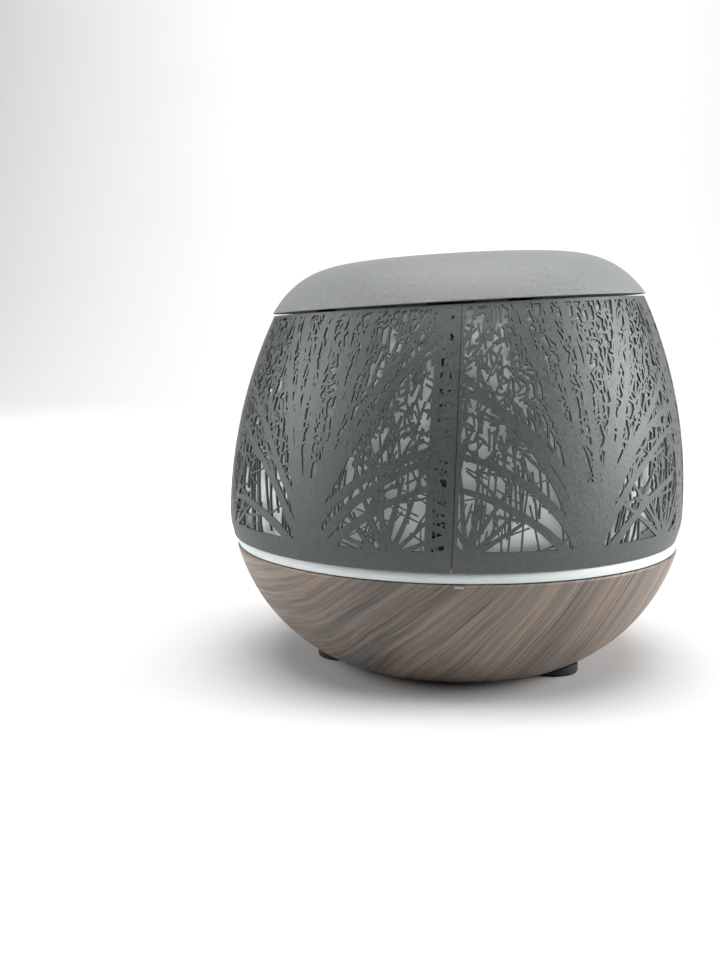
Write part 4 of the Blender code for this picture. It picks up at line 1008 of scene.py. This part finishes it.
class DIFFUSER_OT_tank(bpy.types.Operator):
    """Turn the water tank with its sump and air tower"""

    bl_idname = "diffuser.tank"
    bl_label = "Water Tank"

    def execute(self, context):
        radius, wall, floor, flat = 0.0610, 0.0018, 0.0230, 0.0456
        tower_ring, tower_radius, tower_bore, tower_top = 0.0340, 0.0085, 0.0070, 0.0560
        flange_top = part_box("tank_gasket")[0].z - CLEARANCE
        flange_bottom = flange_top - wall
        flange = bowl_radius(flange_bottom, form().bowl_wall) - CLEARANCE
        sump, sump_bottom, opening = 0.0130, floor - 0.0015, 0.0060
        sump_top = sump_bottom + wall

        def curve(inset):
            across, down = radius - flat - inset, flange_bottom - floor - inset
            angles = spread(0, math.pi / 2, 17)
            return [(flat + across * math.cos(a), flange_bottom - down * math.sin(a)) for a in angles]

        profile = [(radius, TANK_HIGH.z), (radius, flange_top), (flange, flange_top)]
        profile += [(flange, flange_bottom), *curve(0), (sump, floor), (sump, sump_bottom)]
        profile += [(opening, sump_bottom), (opening, sump_top), (sump - wall, sump_top)]
        profile += [(sump, floor + wall), *reversed(curve(wall)), (radius - wall, TANK_HIGH.z)]
        item = make_piece("tank_body", rounded(spun(profile, 96), 0.0003, angle=40, segments=2))
        tower = facing(230) @ Matrix.Translation((tower_ring, 0, 0))
        solid = bmesh.new()
        add_rod(solid, tower_radius, floor + wall / 2, tower_top, tower, 48)
        cut_away(item, solid, "UNION")
        bore = bmesh.new()
        add_rod(bore, tower_bore, floor - 0.001, tower_top + 0.001, tower, 48)
        cut_away(item, bore)
        fit_piece(item, "base", "frosted_plastic", "water_tank")
        return {"FINISHED"}


class DIFFUSER_OT_buttons(bpy.types.Operator):
    """Turn the two push buttons, each with its own raised mark"""

    bl_idname = "diffuser.buttons"
    bl_label = "Buttons"

    def execute(self, context):
        radius, proud, body, dome = BUTTON_RADIUS, 0.0008, 0.0052, 0.0002
        flange, flange_wall = 0.0060, 0.0010
        seat = proud - body
        mark_bottom, mark_top = proud - 0.0004, proud + 0.00008
        for across, name in ((-BUTTON_ACROSS, "mist_button"), (BUTTON_ACROSS, "light_button")):
            crown = [(radius * step, proud - dome * step ** 2) for step in spread(0, 0.94, 8)]
            profile = [*crown, (radius, proud - 0.0007), (radius, seat), (flange, seat)]
            profile += [(flange, seat - flange_wall), (0, seat - flange_wall)]
            shape = spun(profile, 64, closed=False)
            if name == "mist_button":
                for place, dot in ((-0.0013, 0.0003), (0, 0.0005), (0.0013, 0.0003)):
                    at = Matrix.Translation((place, 0, 0))
                    add_rod(shape, dot, mark_bottom, mark_top, at, 24)
            else:
                add_rod(shape, 0.0009, mark_bottom, mark_top, Matrix())
            item = make_piece(name.replace("button", "push"), shape, button_frame(across))
            fit_piece(item, name, "dark_plastic", name)
        return {"FINISHED"}


class DIFFUSER_OT_stage(bpy.types.Operator):
    """Lay the pale floor and set the lights and camera"""

    bl_idname = "diffuser.stage"
    bl_label = "Stage"

    def execute(self, context):
        scene = context.scene
        sets = scene.diffuser_stage
        half, wall, bend = 2.0, 1.1, 0.8
        shape = bmesh.new()
        bmesh.ops.create_grid(shape, x_segments=1, y_segments=1, size=half)

        def back_edges():
            low_back = [vert for vert in shape.verts if vert.co.y > half - 0.1 and vert.co.z < 0.01]
            return [edge for edge in shape.edges if all(vert in low_back for vert in edge.verts)]

        made = bmesh.ops.extrude_edge_only(shape, edges=back_edges())["geom"]
        lifted = [item for item in made if isinstance(item, bmesh.types.BMVert)]
        bmesh.ops.translate(shape, vec=(0, 0, wall), verts=lifted)
        bmesh.ops.bevel(
            shape, geom=back_edges(), offset=bend, segments=16, profile=0.5, affect="EDGES", material=-1
        )
        floor = make_piece("floor", shape)
        floor.data.shade_smooth()
        tree, shader, place = new_finish("pale_floor")
        colour = mix_colour(tree, noise(tree, place, 2.0), (0.60, 0.60, 0.60, 1), (0.64, 0.64, 0.64, 1))
        feed(tree, shader, {"Base Color": colour, "Roughness": 0.8, "Specular IOR Level": 0.0})
        floor.data.materials.append(finish_of("pale_floor"))

        world = bpy.data.worlds.new("studio")
        world.use_nodes = True
        sky = world.node_tree
        parts = sky.nodes.new("ShaderNodeSeparateXYZ")
        feed(sky, parts, {"Vector": sky.nodes.new("ShaderNodeTexCoord").outputs["Generated"]})
        above = math_node(sky, "MULTIPLY", parts.outputs["Z"], 0.75)
        behind = math_node(sky, "MULTIPLY_ADD", parts.outputs["Y"], 0.65, above)
        glow = ramp(sky, behind, 0.05, 1.70, -0.35, 0.90)
        seen = sky.nodes.new("ShaderNodeLightPath").outputs["Is Camera Ray"]
        glow = math_node(sky, "MAXIMUM", glow, seen)
        feed(sky, sky.nodes["Background"], {"Strength": glow})
        scene.world = world
        scene.view_settings.view_transform = "Standard"
        # Name, place, target, width and watts.
        lamps = (
            ("top_light", (0.0, -0.12, 1.0), (0, 0, 0.07), 1.0, 14.0),
            ("left_light", (-1.0, -0.05, 0.45), (0, 0, 0.07), 0.7, 8.0),
            ("right_light", (1.0, 0.02, 0.40), (0, 0, 0.07), 0.7, 15.0),
            ("back_light", (0.0, 0.9, 1.3), (0, 1.9, 0.4), 1.5, 30.0),
        )
        for name, spot, target, size, power in lamps:
            lamp = bpy.data.lights.new(name, "AREA")
            lamp.shape = "DISK"
            lamp.size = size
            lamp.energy = power
            item = bpy.data.objects.new(name, lamp)
            item.location = spot
            aim = Vector(target) - Vector(spot)
            item.rotation_euler = aim.to_track_quat("-Z", "Y").to_euler()
            scene.collection.objects.link(item)

        camera = bpy.data.objects.new("camera", bpy.data.cameras.new("camera"))
        camera.data.lens = sets.lens
        camera.data.clip_start = 0.01
        camera.location = (0, -sets.distance, sets.height)
        camera.rotation_euler = (math.pi / 2 - sets.tip, 0, sets.turn)
        scene.collection.objects.link(camera)
        scene.camera = camera
        return {"FINISHED"}


OPERATORS = (
    DIFFUSER_OT_finishes,
    DIFFUSER_OT_sleeve,
    DIFFUSER_OT_cap,
    DIFFUSER_OT_shell,
    DIFFUSER_OT_ring,
    DIFFUSER_OT_bowl,
    DIFFUSER_OT_feet,
    DIFFUSER_OT_tank,
    DIFFUSER_OT_buttons,
    DIFFUSER_OT_stage,
)
GROUPS = (
    ("diffuser_form", DIFFUSER_PG_form),
    ("diffuser_lattice", DIFFUSER_PG_lattice),
    ("diffuser_finish", DIFFUSER_PG_finish),
    ("diffuser_stage", DIFFUSER_PG_stage),
)


class DIFFUSER_PT_pieces(bpy.types.Panel):
    """Pieces of the diffuser, with their sizes and colours"""

    bl_idname = "DIFFUSER_PT_pieces"
    bl_label = "Essential Oil Diffuser"
    bl_space_type = "VIEW_3D"
    bl_region_type = "UI"
    bl_category = "Diffuser"

    def draw(self, context):
        for name, group in GROUPS:
            box = self.layout.box()
            box.label(text=group.__doc__)
            for key in group.__annotations__:
                box.prop(getattr(context.scene, name), key)
        for operator in OPERATORS:
            self.layout.operator(operator.bl_idname)


def register():
    for name, group in GROUPS:
        bpy.utils.register_class(group)
        setattr(bpy.types.Scene, name, PointerProperty(type=group))
    for operator in OPERATORS:
        bpy.utils.register_class(operator)
    bpy.utils.register_class(DIFFUSER_PT_pieces)


def unregister():
    bpy.utils.unregister_class(DIFFUSER_PT_pieces)
    for operator in reversed(OPERATORS):
        bpy.utils.unregister_class(operator)
    for name, group in reversed(GROUPS):
        delattr(bpy.types.Scene, name)
        bpy.utils.unregister_class(group)


def main():
    register()
    for operator in OPERATORS:
        getattr(bpy.ops.diffuser, operator.bl_idname.split(".")[1])()


if __name__ == "__main__":
    main()
